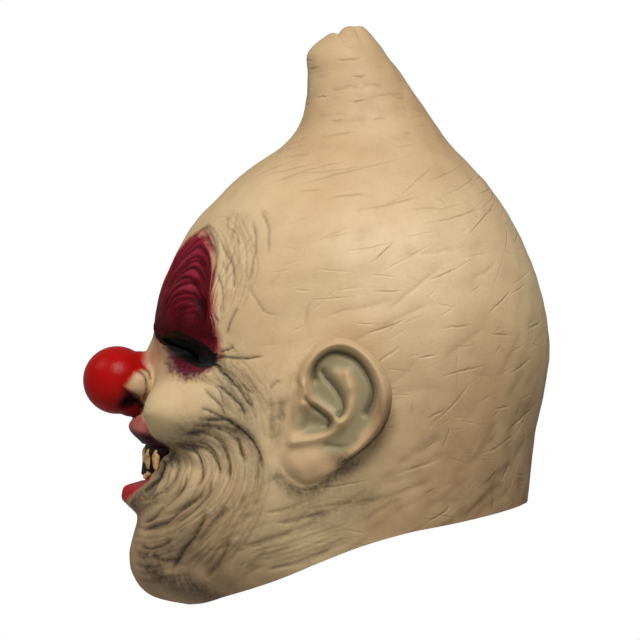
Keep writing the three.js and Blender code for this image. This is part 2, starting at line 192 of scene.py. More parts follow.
# Ears, seen from the side from the ear's centre: outline, ridges, grooves and bowls.
EAR_CENTRE = (-20.1, -147.3)
EAR_WIDER, EAR_SHORTER = 1.02, 0.965  # the outline's stretch
EAR_OUTLINE = [
    (-19, 20), (-20, 26), (-14.4, 36), (-8.3, 43), (2.4, 47.8), (13.2, 45.5), (22.3, 38.6), (29.2, 29.4),
    (33.8, 17), (33.8, 6.5), (31.5, -2.7), (26.2, -12), (16.2, -21.8), (4, -31), (-3.7, -36.4),
    (-14.4, -41), (-22.8, -40), (-28.9, -35.6), (-32, -28), (-29.7, -19.5), (-27.4, -8.8), (-25.9, 3.4),
    (-22, 12), (-19, 20),
]
EAR_SWEEPS = 160
ear_outline = along_curve(EAR_OUTLINE, np.arange(EAR_SWEEPS) / EAR_SWEEPS)[::-1] * (EAR_WIDER, EAR_SHORTER)


def inside_outline(x, z, outline):
    """Depth of each place inside a closed outline, negative outside it."""
    closed = np.vstack([outline, outline[:1]])
    apart, _ = near_path(x, z, closed)
    crossings = np.zeros(len(x), int)
    for (x0, z0), (x1, z1) in zip(closed[:-1], closed[1:]):
        if z0 == z1:
            continue
        meets = (z0 <= z) != (z1 <= z)
        crossings += meets & (x < x0 + (z - z0) * (x1 - x0) / (z1 - z0))
    return np.where(crossings % 2 == 1, apart, -apart)


# The head is hollowed under each ear, so that the ear's bowl can lie deep.
EAR_BED = 10
beside = np.abs(np.sin(turn)) > 0.7
bed = np.zeros_like(turn)
bed[beside] = smoothstep(
    inside_outline(
        shaped[..., 1][beside] - EAR_CENTRE[0], shaped[..., 2][beside] - EAR_CENTRE[1], ear_outline[::4]
    ),
    3, 11,
)
outward = grid_normals(shaped)
shaped = shaped - outward * (EAR_BED * bed)[..., None]

# Creases pressed into the clay. They are laid out on the head's unrolled surface, with the distance
# round from the midline and the height.
around = turn * (section[..., 4] + section[..., 3] - section[..., 1]) / 2
seen = (turn > 0) & (outward[..., 0] > 0.04)
VIEW_CENTRE, VIEW_DISTANCE = np.array((-27, -91.2)), 3000
seen_places = VIEW_CENTRE + (shaped[seen][:, 1:] - VIEW_CENTRE) / (1 - shaped[seen][:, :1] / VIEW_DISTANCE)
seen_layout = np.stack([around[seen], level[seen]], axis=-1)


def laid_out(side_view):
    """Places (y, z) of the side view, taken from far off, on the unrolled surface."""
    nearest = [np.argmin(((seen_places - place) ** 2).sum(-1)) for place in side_view]
    return seen_layout[nearest]


# Single creases in side view: places along it, half width, depth, dark wash and painted shade in the
# crease.
CREASES = [
    ([(-102, -150), (-94.6, -152), (-84.5, -151.6), (-80, -154), (-74, -158.4), (-68.5, -163.4),
      (-65, -169.3), (-62.6, -176), (-60, -182.5)], 1.7, 2.3, 0.95),
    ([(-105.5, -155), (-95.4, -155.8), (-88, -156.8), (-81, -160), (-77, -165), (-74.8, -172),
      (-71.4, -178)], 1.8, 2.4, 0.95),
    ([(-110, -160), (-98.8, -159.4), (-91, -161.7), (-87, -166), (-84.5, -171), (-82.8, -177.7),
      (-82.4, -184.4), (-83.2, -192)], 1.8, 2.4, 0.95),
    ([(-119, -167.8), (-110, -167.4), (-101.3, -167.6), (-95.4, -170), (-91, -175.2), (-89, -181),
      (-89, -188)], 1.5, 2.0, 0.9),
    ([(-117, -169), (-105.5, -170.3), (-100.5, -173.5), (-98.4, -179.4), (-99.2, -185.3), (-103, -193.7)],
     1.5, 1.9, 0.9),
    ([(-117.7, -171.8), (-112.7, -177), (-114.4, -186), (-122.4, -194.6), (-134, -200.4)], 1.5, 1.7, 0.85),
    ([(-119, -174.3), (-122.4, -182.8), (-127.4, -189.5), (-133.3, -193.7)], 1.7, 1.2, 0.9),
    ([(-106.8, -181), (-109.7, -191), (-118, -201), (-127.4, -209.7), (-134.6, -213)], 1.5, 1.8, 0.85),
    ([(-95.4, -191), (-103, -199.6), (-111.4, -205), (-119.8, -212), (-130, -216.6), (-136, -217.3)],
     1.6, 1.8, 0.8),
    ([(-93.3, -186), (-94.2, -194.6), (-99.6, -201.3), (-107.2, -209), (-118, -216.4)], 1.4, 1.4, 0.7),
    ([(-95.4, -205.5), (-99.6, -214.8), (-105.5, -225), (-113, -235.4), (-118, -242.5)], 1.9, 2.0, 0.8),
    ([(-83.5, -203), (-88, -209.3), (-95.4, -218.5), (-103, -228.6)], 1.5, 1.4, 0.6),
    ([(-80.7, -222.3), (-84.5, -231.6), (-89.5, -239), (-94.6, -247)], 1.3, 1.5, 0.6),
    ([(-136, -226.5), (-130, -228.4), (-122.4, -226.7), (-116, -224)], 1.5, 1.5, 0.75),
    ([(-129, -232.4), (-122.4, -236), (-113.5, -235)], 1.5, 1.2, 0.6),
    ([(-82.8, -127), (-76, -132.3), (-71, -140.7), (-68, -143.6)], 1.1, 1.3, 0.9),
    ([(-89.5, -129), (-82.8, -134.8), (-76, -142.4), (-72.3, -149.5)], 1.1, 1.4, 0.9),
    ([(-98, -131.4), (-91, -137.3), (-87, -143), (-84.5, -150.8)], 0.9, 1.0, 0.7),
    ([(-98.8, -144), (-91, -147.4), (-84.5, -150.8)], 1.0, 1.1, 0.8),
    ([(-74.4, -129.7), (-67.6, -135.6)], 1.0, 0.9, 0.6),
    ([(-57, -132.7), (-52, -127)], 1.0, 0.7, 0.5),
    ([(-57, -138), (-56.5, -152.5), (-55.7, -166)], 1.2, 0.9, 0.4),
    ([(-51.7, -140), (-50.8, -152.5)], 1.2, 0.9, 0.4),
    ([(-89, -117.4), (-84, -124), (-79.8, -130)], 1.2, 1.5, 0.95),
    ([(-89, -114), (-84, -114), (-72, -114), (-60, -112.7)], 1.0, 1.2, 0.85),
    ([(-87.3, -111), (-79.3, -107)], 1.1, 1.2, 0.9),
    ([(-84, -100.5), (-80.6, -92.5), (-76.3, -84)], 1.0, 0.9, 0.6),
    ([(-88, -41.7), (-83, -51), (-80, -59.5), (-79.3, -69.3), (-80, -72.4)], 0.9, 1.0, 0.6),
    ([(-81, -34.4), (-78, -40), (-75, -46.6)], 0.9, 0.8, 0.5),
    ([(-67.8, -30), (-66.2, -40.5), (-67.2, -51.5), (-69, -63.2), (-71.4, -70)], 0.9, 0.9, 0.5),
    ([(-61.6, -25), (-59.2, -31.3), (-57.6, -40.5), (-58, -53)], 0.9, 0.7, 0.4),
    ([(-72, -70), (-64.8, -79), (-59.8, -86.4), (-51, -88.8)], 0.8, 0.6, 0.3),
    ([(-89.8, -60.7), (-86.7, -70.5), (-84.8, -80.3), (-85.4, -89.4)], 0.9, 1.0, 0.5),
    ([(-86, -55.8), (-83.6, -63)], 0.9, 0.7, 0.4),
    ([(-122, -115.6), (-118, -119), (-115, -123.5)], 1.1, 1.2, 0.7),
    ([(-60, -207), (-44, -204), (-27, -197)], 1.0, 0.6, 0.12),
    ([(-75, -227.4), (-60, -224), (-42, -218)], 1.0, 0.8, 0.25),
    ([(-59, -242.5), (-39, -236), (-20, -229)], 1.0, 0.7, 0.2),
    ([(-54, -213), (-39, -211.4), (-22, -206)], 1.0, 0.7, 0.15),
]

# Fans of finer folds in side view: first curve, last curve, count, half width, depth, dark wash and painted
# shade.
FOLD_FANS = {
    "smile": (
        [(-119, -168), (-102, -170), (-98, -184), (-112, -203), (-135, -212)],
        [(-95, -150), (-75, -157), (-61, -181), (-69, -208), (-90, -244)],
        20, 1.0, 0.6, 0.3,
    ),
    "lip": (
        [(-119, -172), (-124, -187), (-131, -197), (-138, -203)],
        [(-117, -169), (-105, -176), (-111, -194), (-136, -209)],
        5, 1.2, 0.7, 0.35,
    ),
    "brow": (
        [(-120, -94), (-118, -86.4), (-114, -80.4), (-105.6, -78), (-99.6, -82), (-97, -89.4),
         (-96, -98.4)],
        [(-123.5, -86.4), (-120, -68), (-113.6, -54.6), (-104.4, -42.4), (-95.4, -36), (-90, -55),
         (-88, -104)],
        10, 1.5, 1.6, 0.7,
    ),
    "brow_ball": (
        [(-113, -99), (-110, -90), (-105, -87), (-101, -91), (-100, -100)],
        [(-119, -96), (-116, -85), (-106, -79.5), (-99, -84), (-97, -99)],
        4, 1.1, 0.9, 0.5,
    ),
    "crow": (
        [(-89.4, -114), (-84.6, -109), (-78, -102)],
        [(-90.6, -118), (-82, -127), (-73, -137)],
        5, 0.8, 0.5, 0.35,
    ),
    "cheek": (
        [(-100, -124), (-90, -134), (-82, -149)],
        [(-78, -116), (-66, -130), (-58, -148), (-54, -169)],
        12, 0.7, 0.4, 0.3,
    ),
    "jaw": (
        [(-97, -200), (-95, -214), (-104, -228), (-118, -240)],
        [(-62, -186), (-64, -208), (-76, -229), (-90, -247)],
        9, 1.2, 0.6, 0.25,
    ),
    "jowl": (
        [(-58, -186), (-64, -208), (-76, -229), (-90, -247)],
        [(-21, -202), (-36, -220), (-57, -235), (-75, -253)],
        6, 1.2, 0.4, 0.06,
    ),
    "neck": (
        [(-75, -228), (-48, -219), (-21, -211)],
        [(-69, -247), (-33, -235), (3, -220)],
        7, 1.0, 0.5, 0.08,
    ),
    "chin": (
        [(-138, -214), (-129, -217), (-114, -213)],
        [(-135, -247), (-120, -248), (-99, -241)],
        8, 1.3, 0.6, 0.3,
    ),
    "brow_side": (
        [(-97, -33), (-89, -40), (-84.5, -52), (-83, -66), (-84.5, -80), (-87, -94)],
        [(-84, -22), (-74, -30), (-67.5, -44), (-66.5, -60), (-70, -76), (-76, -92)],
        7, 0.9, 0.7, 0.28,
    ),
}

# Single strokes scattered over a part of the head: turn and height it covers, count, length, slope in
# degrees and its spread, half width, depth, dark wash and painted shade.
STROKES = {
    "back": ((85, 178), (-195, -50), 24, (20, 60), 28, 22, 1.5, 0.5, 0.06),
    "temple": ((62, 85), (-125, -50), 9, (10, 24), 80, 16, 0.9, 0.3, 0.08),
    "nape": ((95, 178), (-215, -165), 22, (20, 55), 28, 10, 1.5, 0.6, 0.1),
    "throat": ((40, 100), (-250, -190), 30, (14, 40), 25, 18, 0.8, 0.45, 0.08),
    "topknot": ((0, 178), (0, 66), 20, (8, 26), 0, 8, 0.9, 0.3, 0.22),
    "before_ear": ((62, 72), (-190, -130), 12, (10, 24), 85, 8, 0.7, 0.45, 0.15),
}
# Grooves between the lobes of the topknot's tip, from side to side: place, half width, depth.
TIP_GROOVES = [(-16.5, 2.2, 2.6), (-7, 1.2, 0.7)]

crease = np.zeros_like(turn)
wash_and_shade = np.zeros_like(turn)


def beside_path(x, z, path, reach):
    """Whether each place lies in the box round a path, widened by a reach."""
    low, high = path.min(0) - reach, path.max(0) + reach
    return (x > low[0]) & (x < high[0]) & (z > low[1]) & (z < high[1])


def press_crease(path, side, half_width, deep, dark):
    """One crease along a path: a narrow cut in a soft valley, fading to its ends."""
    near = beside_path(side * around, level, path, 7 * half_width)
    apart, share = near_path(side * around[near], level[near], path)
    fade = smoothstep(np.minimum(share, 1 - share), 0, 0.2)
    valley = 0.65 * np.exp(-apart / (2 * half_width)) + 0.35 * np.exp(-((apart / half_width) ** 2))
    crease[near] -= deep * fade * valley
    # Dark wash and painted shade along the crease.
    line = 0.8 * np.exp(-((apart / (0.6 * half_width)) ** 2)) + 0.2 * np.exp(-apart / (2 * half_width))
    wash_and_shade[near] = np.maximum(wash_and_shade[near], dark * fade * line)


def wobble(path, amount, chance):
    """A path bent a little from side to side, as a hand-cut line is."""
    step = np.gradient(path, axis=0)
    length = np.maximum(np.linalg.norm(step, axis=-1, keepdims=True), 1e-6)
    across = np.stack([-step[:, 1], step[:, 0]], -1) / length
    share = np.linspace(0, 1, len(path))
    bend = sum(np.sin(2 * np.pi * (k * share + chance.random())) * chance.random() / k for k in (1, 2, 4))
    return path + across * amount * bend[:, None]


chance = np.random.default_rng(11)
for places, half_width, deep, dark in CREASES:
    path = along_curve(laid_out(places), np.linspace(0, 1, 48))
    for side in (1, -1):
        press_crease(wobble(path, 0.5, chance), side, half_width, deep, dark)
for first, last, count, half_width, deep, dark in FOLD_FANS.values():
    first, last = laid_out(first), laid_out(last)
    for side in (1, -1):
        for k in range(count):
            w = np.clip((k + chance.uniform(-0.3, 0.3)) / (count - 1), 0, 1)
            share = np.linspace(chance.uniform(0, 0.14), chance.uniform(0.86, 1), 40)
            path = (1 - w) * along_curve(first, share) + w * along_curve(last, share)
            strength = chance.uniform(0.65, 1.15)
            press_crease(wobble(path, 1.2, chance), side, half_width, deep * strength, dark * strength)
for turns, heights, count, lengths, slope, spread, half_width, deep, dark in STROKES.values():
    for side in (1, -1):
        for _ in range(count):
            height = chance.uniform(*heights)
            row = np.argmin(np.abs(level[:, 0] - height))
            girth = np.interp(np.radians(chance.uniform(*turns)), turn[row], around[row])
            angle = np.radians(slope + chance.uniform(-spread, spread))
            half_way = np.array([np.cos(angle), np.sin(angle)]) * chance.uniform(*lengths) / 2
            path = np.array([girth, height]) + np.linspace(-1, 1, 12)[:, None] * half_way
            strength = chance.uniform(0.5, 1.2)
            press_crease(wobble(path, 0.9, chance), side, half_width, deep * strength, dark * strength)


def lumps(points, wave, seed):
    """Slow random swelling, about -1 to 1, as in clay that was modelled by hand."""
    draw = np.random.default_rng(seed)
    swell = 0
    for _ in range(10):
        way = draw.normal(size=3)
        way *= 2 * np.pi / (np.linalg.norm(way) * wave * draw.uniform(0.7, 1.5))
        swell = swell + np.sin(points @ way + draw.uniform(0, 2 * np.pi))
    return swell / 3.5


outward = grid_normals(shaped)
uneven = 0.55 * lumps(plain, 46, 3) + 0.2 * lumps(plain, 15, 4)
DEEPEST, DEEPEST_AT_MOUTH = 3, 1.5  # the skin has no room behind it where the mouth lining lies
behind_mouth = smoothstep(-np.abs(turn), -0.72, -0.62) * smoothstep(-level, 146, 152)
behind_mouth *= smoothstep(level, -214, -206)
pressed = np.maximum(crease, -DEEPEST + (DEEPEST - DEEPEST_AT_MOUTH) * behind_mouth)
sculpt = shaped + outward * (pressed + uneven * (1 - behind_mouth))[..., None]
for place, half_width, deep in TIP_GROOVES:
    bent_back = sculpt[..., 1] - 0.02 * sculpt[..., 0] ** 2
    groove = np.exp(-(((bent_back - place) / half_width) ** 2)) * smoothstep(level, 70, 80)
    sculpt[..., 2] -= deep * groove


def closed_grid(name, points):
    """A closed mesh of a grid of points, its first and last rows capped."""
    rows, columns = points.shape[:2]
    index = np.arange(rows * columns).reshape(rows, columns)
    right = np.roll(index, -1, axis=1)
    quads = np.stack([index[:-1], index[1:], right[1:], right[:-1]], axis=-1).reshape(-1, 4)
    mesh = bpy.data.meshes.new(name)
    caps = [index[0].tolist(), index[-1][::-1].tolist()]
    mesh.from_pydata((points.reshape(-1, 3) * MM).tolist(), [], quads.tolist() + caps)
    piece = bpy.data.objects.new(name, mesh)
    bpy.context.collection.objects.link(piece)
    return piece


def apply_modifier(piece, kind, **settings):
    """A modifier added to a piece and applied at once."""
    modifier = piece.modifiers.new(kind.lower(), kind)
    for name, value in settings.items():
        setattr(modifier, name, value)
    bpy.context.view_layer.objects.active = piece
    bpy.ops.object.modifier_apply(modifier=modifier.name)


def cut_or_join(piece, other, operation):
    """A solid joined to a piece, or cut out of it, and then deleted."""
    apply_modifier(piece, "BOOLEAN", object=other, operation=operation, solver="MANIFOLD")
    bpy.data.objects.remove(other)


SKIN_SHARE = 0.135  # of the fine grid's faces that are kept, mostly along the folds
skin = closed_grid("latex_skin_visual", sculpt)
apply_modifier(skin, "TRIANGULATE")
apply_modifier(skin, "DECIMATE", ratio=SKIN_SHARE)

# Ball nose: ball, neck, strut and wings are modelled as one lump and blended into the face.
NOSE_BALL = ((0, -148.8, -127.2), (20.4, 20.4, 20.4))
NOSE_FORMS = {
    "ball": NOSE_BALL,
    "neck": ((0, -135, -121), (11, 16, 11.2)),
    "base": ((0, -126, -129), (15, 9, 15)),
    "strut": ((0, -139, -140), (9.5, 12, 9.5)),
    "wing_left": ((11.5, -135.5, -128.5), (7.5, 8.5, 9.5), (0.5, 0, 0)),
    "wing_right": ((-11.5, -135.5, -128.5), (7.5, 8.5, 9.5), (0.5, 0, 0)),
}


def add_ellipsoid(name, centre, radii, turned=(0, 0, 0)):
    """A ball stretched to three radii and turned, with its place in its mesh."""
    bpy.ops.mesh.primitive_uv_sphere_add(segments=64, ring_count=40, location=Vector(centre) * MM)
    piece = bpy.context.object
    piece.name = name
    piece.scale = Vector(radii) * MM
    piece.rotation_euler = turned
    bpy.ops.object.transform_apply(location=True, rotation=True, scale=True)
    return piece


def tree_of(piece):
    """A search tree of a piece's surface."""
    return bvhtree.BVHTree.FromObject(piece, bpy.context.evaluated_depsgraph_get())


bpy.ops.object.select_all(action="DESELECT")
nose_forms = [add_ellipsoid(name, *form) for name, form in NOSE_FORMS.items()]
for form in nose_forms:
    form.select_set(True)
bpy.context.view_layer.objects.active = nose_forms[0]
bpy.ops.object.join()
nose = bpy.context.object
nose.name = "nose"
apply_modifier(nose, "REMESH", mode="VOXEL", voxel_size=0.8 * MM)
apply_modifier(nose, "SMOOTH", factor=0.5, iterations=6)
apply_modifier(nose, "DECIMATE", ratio=0.4)

# Ears: a flap whose front edge lies on the head and whose back edge stands off it.
EAR_STANDS_OFF = 13
EAR_RIM_THICK = 3.6
EAR_ROOT = 16
EAR_RIDGES = {
    "helix": (
        [(-16, 8), (-17, 22), (-12, 33), (-2, 41), (9, 42.5), (20, 35), (27.5, 23), (30, 11), (27, -3),
         (19, -14), (8, -25)], 4.2, 6,
    ),
    "antihelix": (
        [(-22.9, -14.8), (-10.8, -12.9), (-1.4, -9.2), (4, -5), (8.8, 1), (11, 8), (11, 17), (8.5, 25)],
        3.4, 4.2,
    ),
    "helix_crus": ([(-15.5, 18), (-12.5, 11), (-6.5, 6), (-0.5, 1.5), (3.5, -2.5)], 3.2, 2.6),
    "fossa": ([(2.3, 26), (5.5, 21.5), (8.5, 17)], 3.4, 2.4),
    "tragus": ([(-21, 6), (-18, -2)], 5.5, 2.2),
    "lobe": ([(-17, -29), (-13, -27)], 11, 5),
    "helix_groove": (
        [(-9.8, 22), (-9.5, 28.5), (-6.1, 33.7), (-0.5, 37.4), (6, 37), (13.5, 33.7), (19.1, 27.2),
         (22.8, 19.7), (23.8, 14.1), (22.8, 8.5), (20, 2)], 2.2, -3.5,
    ),
    "fossa_groove": (
        [(-5.5, 26), (-3, 22), (0.4, 18.4), (4.1, 13.2), (6.6, 7.6), (6.6, 3.4), (4.2, 0.2)], 2, -2.6,
    ),
    "concha": ([(-13, -4), (-7, -5), (-4, -6)], 5, -3),
    "concha_edge": ([(-15, 10), (-12, 6.6), (-7, 2.8), (-2.6, -0.8), (-1.2, -3.6), (-2.4, -6)], 1.9, -2.4),
    "lobe_groove": ([(-3, -17), (8, -18), (14, -14)], 1.8, -1.4),
}


def ear_relief(back, up):
    """Height of the ear's ridges and hollows over its flap."""
    height = np.zeros_like(back)
    for places, radius, top in EAR_RIDGES.values():
        apart, _ = near_path(back, up, along_curve(places, np.linspace(0, 1, 40)))
        height += top * np.exp(-((apart / radius) ** 2))
    return height


def head_side(y, z):
    """How far out the plain head's side is at a place of the side view."""
    section_at = np.interp(-z, -level[:, 0], depth[:, 0])
    _, front, back, mid, half, square = along_curve(HEAD_SECTIONS, section_at).T
    share = np.abs((y - mid) / np.where(y < mid, front - mid, back - mid))
    return half * (1 - np.minimum(share, 1) ** square) ** (1 / square)


EAR_FACE_RINGS, EAR_RIM_RINGS = 48, 16
rim_rings = 1 - 0.1 * np.cos(np.linspace(0.1, np.pi / 2, EAR_RIM_RINGS))
rings = np.concatenate([np.linspace(0.02, 0.9, EAR_FACE_RINGS), rim_rings])
back, up = (np.outer(rings, ear_outline[:, k]) for k in (0, 1))
stand = EAR_STANDS_OFF * np.clip((back + 14) / 47, 0, 2) ** 1.3
sunk_edge = -3 * smoothstep(-back, 14, 24) * smoothstep(rings, 0.75, 1)[:, None]
rim = np.sqrt(1 - np.clip((rings - 0.88) / 0.12, 0, 1) ** 2)[:, None]
relief = (ear_relief(back.ravel(), up.ravel()).reshape(back.shape) + 1) * rim
side = head_side((back + EAR_CENTRE[0]).ravel(), (up + EAR_CENTRE[1]).ravel()).reshape(back.shape)
ear_face = np.stack([side + stand + relief + sunk_edge, back + EAR_CENTRE[0], up + EAR_CENTRE[1]], -1)
rear_rings = slice(-2, None, -3)
thick = EAR_RIM_THICK * (1 - 0.6 * rings**6) + EAR_ROOT * smoothstep(1 - rings, 0.2, 0.65)
ear_rear = ear_face.copy()
ear_rear[..., 0] = side + stand + sunk_edge - thick[:, None]
left_ear = np.concatenate([ear_face, ear_rear[rear_rings]])
right_ear = (left_ear * (-1, 1, 1))[:, ::-1]
ears = [closed_grid("ear_left", left_ear), closed_grid("ear_right", right_ear)]
for ear in ears:
    apply_modifier(ear, "DECIMATE", ratio=0.5)

# The joints of nose and ears are smoothed as the sculptor smooths clay, this far from the joint.
JOINT_REACHES = {"nose": 4.5, "ear_left": 2.2, "ear_right": 2.2}
JOINT_SEARCH, FARTHEST = 6, 10


def distance_to(tree, points, limit):
    """Distance of points from a surface, in millimetres, or the limit where it is farther."""
    found = (tree.find_nearest(point, limit * MM)[3] for point in points)
    return np.array([limit if gap is None else gap / MM for gap in found])


def positions(piece):
    """A piece's vertices, in millimetres."""
    flat = np.empty(len(piece.data.vertices) * 3)
    piece.data.vertices.foreach_get("co", flat)
    return flat.reshape(-1, 3) / MM


trees = {"head": tree_of(skin)}
boxes = {}
for part in (nose, *ears):
    trees[part.name] = tree_of(part)
    boxes[part.name] = positions(part).min(0) - JOINT_SEARCH, positions(part).max(0) + JOINT_SEARCH
    cut_or_join(skin, part, "UNION")
points = positions(skin)
joint = np.zeros(len(points))
for name, reach in JOINT_REACHES.items():
    low, high = boxes[name]
    near = np.flatnonzero(((points > low) & (points < high)).all(-1))
    ends = [Vector(p) for p in points[near] * MM]
    off_head, off_part = (distance_to(trees[key], ends, FARTHEST) for key in ("head", name))
    weight = 1 - smoothstep(np.maximum(off_head, off_part), 0.2, reach)
    joint[near] = np.maximum(joint[near], weight)
group = skin.vertex_groups.new(name="joint")
for index in np.flatnonzero(joint > 0.01):
    group.add([int(index)], joint[index], "REPLACE")
apply_modifier(skin, "SMOOTH", factor=0.5, iterations=14, vertex_group="joint")
skin.vertex_groups.clear()

# Hollow and openings: the inside of the head and nose, eye slits, nostrils, mouth and neck rim.
INNER_STEP = 6
EYE_SLIT = ((41, -104, -109), (23, 34, 3.9), (0, 0.32, 0))
NOSTRIL = ((13, -139.5, -138), (4.5, 6, 4), (0.5, 0, 0))
MOUTH_HALF, MOUTH_CORNER, MOUTH_TOP, MOUTH_BOTTOM = 43, -166, -165, -187.5
MOUTH_DROOP = 3.5
MOUTH_NEAR, MOUTH_FAR = -100, -160
# The neck rim in side view, from under the chin to the nape.
RIM = [
    (-160, -266), (-105, -261), (-81.5, -254.2), (-54.5, -245), (-27, -233.3), (-0.6, -223),
    (25.8, -215.6), (52.5, -210.6), (75.7, -205.7), (98, -199.8), (130, -189),
]
RIM_SIDE, RIM_DROP = 130, -320

deepest = pressed.reshape(ROWS // INNER_STEP, INNER_STEP, COLUMNS // INNER_STEP, INNER_STEP).min((1, 3))
around_deepest = np.minimum.reduce([np.roll(deepest, k, axis) for k in (-1, 0, 1) for axis in (0, 1)])
coarse = (slice(None, None, INNER_STEP), slice(None, None, INNER_STEP))
inner_sink = WALL - around_deepest * (1 - behind_mouth[coarse])
inner = shaped[coarse] - grid_normals(shaped[coarse]) * inner_sink[..., None]
inner_head = closed_grid("inner_head", inner)
apply_modifier(inner_head, "DECIMATE", ratio=0.4)
trees["inner"] = tree_of(inner_head)
cut_or_join(skin, inner_head, "DIFFERENCE")
for name, sunk in (("ball", WALL + 4.2), ("neck", WALL)):
    centre, radii = NOSE_FORMS[name]
    cut_or_join(skin, add_ellipsoid("nose_hollow", centre, np.array(radii) - sunk), "DIFFERENCE")
for side in (1, -1):
    mirror = np.array((side, 1, 1))
    slit = add_ellipsoid("eye_slit", EYE_SLIT[0] * mirror, EYE_SLIT[1], side * np.array(EYE_SLIT[2]))
    cut_or_join(skin, slit, "DIFFERENCE")
    cut_or_join(skin, add_ellipsoid("nostril", NOSTRIL[0] * mirror, *NOSTRIL[1:]), "DIFFERENCE")


def mouth_edges(share):
    """Heights of the mouth's upper and lower edge, at shares of its half width."""
    upper = MOUTH_TOP + (MOUTH_CORNER - MOUTH_TOP) * share**2
    lower = MOUTH_BOTTOM + (MOUTH_CORNER - MOUTH_BOTTOM) * np.abs(share) ** MOUTH_DROOP
    return upper, lower


arc = np.linspace(-1, 1, 40)
upper_edge, lower_edge = (np.stack([arc * MOUTH_HALF, height], -1) for height in mouth_edges(arc))
mouth_edge = np.vstack([upper_edge[:-1], lower_edge[:0:-1]])
mouth = np.stack([np.insert(mouth_edge, 1, y, axis=1) for y in (MOUTH_NEAR, MOUTH_FAR)])
cut_or_join(skin, closed_grid("mouth", mouth), "DIFFERENCE")
rim_line = along_curve(RIM, np.linspace(0, 1, 90))
rim_edge = np.vstack([rim_line, (rim_line[-1, 0], RIM_DROP), (rim_line[0, 0], RIM_DROP)])[::-1]
below = np.stack([np.insert(rim_edge, 0, x, axis=1) for x in (RIM_SIDE, -RIM_SIDE)])
cut_or_join(skin, closed_grid("below_rim", below), "DIFFERENCE")

bpy.ops.object.select_all(action="DESELECT")
skin.select_set(True)
bpy.context.view_layer.objects.active = skin
bpy.ops.object.shade_smooth_by_angle(angle=np.radians(50))

# Paint: masks on the skin's own points, from where each point lies on the sculpt.
# Painted patches in side view, with the softness of their edge.
PATCHES = {
    "brow": (
        [(-128, -99), (-128, -80), (-124, -66), (-116, -53), (-106, -42), (-100, -38), (-94.5, -39),
         (-91.5, -47), (-91, -62), (-90.5, -80), (-88, -98), (-86.5, -109), (-90, -114), (-101, -111),
         (-111, -107), (-119, -104), (-124, -102)],
        7,
    ),
    "socket": (
        [(-123, -98), (-116, -99), (-90, -108), (-85, -113), (-91, -120), (-99, -125.5), (-108, -127.5),
         (-115, -124), (-118.5, -116), (-121, -108)],
        7,
    ),
    "slit": (
        [(-121, -98.5), (-112, -98.5), (-104, -102), (-96, -107), (-88.5, -111.5), (-90, -117.5),
         (-98, -118.5), (-106, -116.5), (-113.5, -112), (-119, -106)],
        3,
    ),
    "blush": ([(-132, -95), (-117, -100), (-113, -118), (-118, -127), (-130, -122), (-136, -112)], 7),
}
UPPER_LIP_PAINT = [
    (-28, -152.5), (0, -147), (28, -152.5), (42, -163), (45, -168), (0, -166), (-45, -168), (-42, -163),
]
LOWER_LIP_PAINT = [
    (-27, -180), (0, -183), (27, -180), (27, -188.5), (23, -192.5), (18, -196), (13, -200), (7, -203.5),
    (0, -205), (-7, -203.5), (-13, -200), (-18, -196), (-23, -192.5), (-27, -188.5),
]
# Soot and painted shadow in side view, in the hollows, under the cheeks, at the mouth corners, under the
# chin, before the ears and under the ear lobes: places along the stroke, reach, amount.
SOOT_AND_SHADOW = [
    ([(-108, -158), (-98, -153), (-88, -154), (-80, -158)], 6, 0.5),
    ([(-120, -167), (-108, -164), (-98, -163), (-90, -168)], 6, 0.65),
    ([(-118, -171), (-121, -181), (-127, -189), (-134, -195.5), (-139, -201)], 5.5, 1.0),
    ([(-88, -120), (-78, -130), (-70, -142)], 7, 0.3),
    ([(-86, -136), (-78, -147), (-70, -156)], 7, 0.35),
    ([(-75, -163), (-70, -175), (-66, -188)], 7, 0.25),
    ([(-50, -140), (-51, -165)], 5, 0.3),
    ([(-110, -222), (-96, -236), (-88, -245)], 8, 0.3),
    ([(-134, -228), (-122, -232), (-112, -230)], 7, 0.3),
    ([(-130, -240), (-114, -250), (-96, -254)], 10, 0.8),
    ([(-84, -118), (-74, -122), (-64, -132)], 10, 0.18),
    ([(-38, -206), (-20, -205), (0, -199)], 11, 0.36),
    ([(-52, -185), (-46, -191), (-37, -194), (-27, -191), (-17, -184), (-8, -177)], 4.2, 0.75),
]

grid_paint = {}
flat_round, flat_level = np.abs(around).ravel(), level.ravel()
for name, (outline, soft) in PATCHES.items():
    inside = inside_outline(flat_round, flat_level, laid_out(outline))
    grid_paint[name] = smoothstep(inside, -soft, soft).reshape(turn.shape)
grid_paint["brow"] = grid_paint["brow"] * smoothstep(np.abs(around), 0.5, 5)
front = np.flatnonzero((np.cos(turn) > 0.3).ravel())
for name, outline, soft in (("upper_lip", UPPER_LIP_PAINT, 3.4), ("lower_lip", LOWER_LIP_PAINT, 3)):
    inside = inside_outline(plain[..., 0].ravel()[front], flat_level[front], np.array(outline, float))
    grid_paint[name] = np.zeros_like(turn)
    grid_paint[name].flat[front] = smoothstep(inside, -soft, soft)
lip_edge, _ = mouth_edges(plain[..., 0] / MOUTH_HALF)
grid_paint["lip_dark"] = 1 - smoothstep(level - lip_edge, 4.6, 9)
# The soot and painted shadow strokes, laid on the grid.
soot_and_shadow = np.zeros(turn.size)
for places, reach, amount in SOOT_AND_SHADOW:
    path = along_curve(laid_out(places), np.linspace(0, 1, 24))
    near = np.flatnonzero(beside_path(flat_round, flat_level, path, 2.5 * reach))
    apart, _ = near_path(flat_round[near], flat_level[near], path)
    soot_and_shadow[near] += amount * np.exp(-((apart / reach) ** 2))
grid_paint["soot_and_shadow"] = soot_and_shadow.reshape(turn.shape)
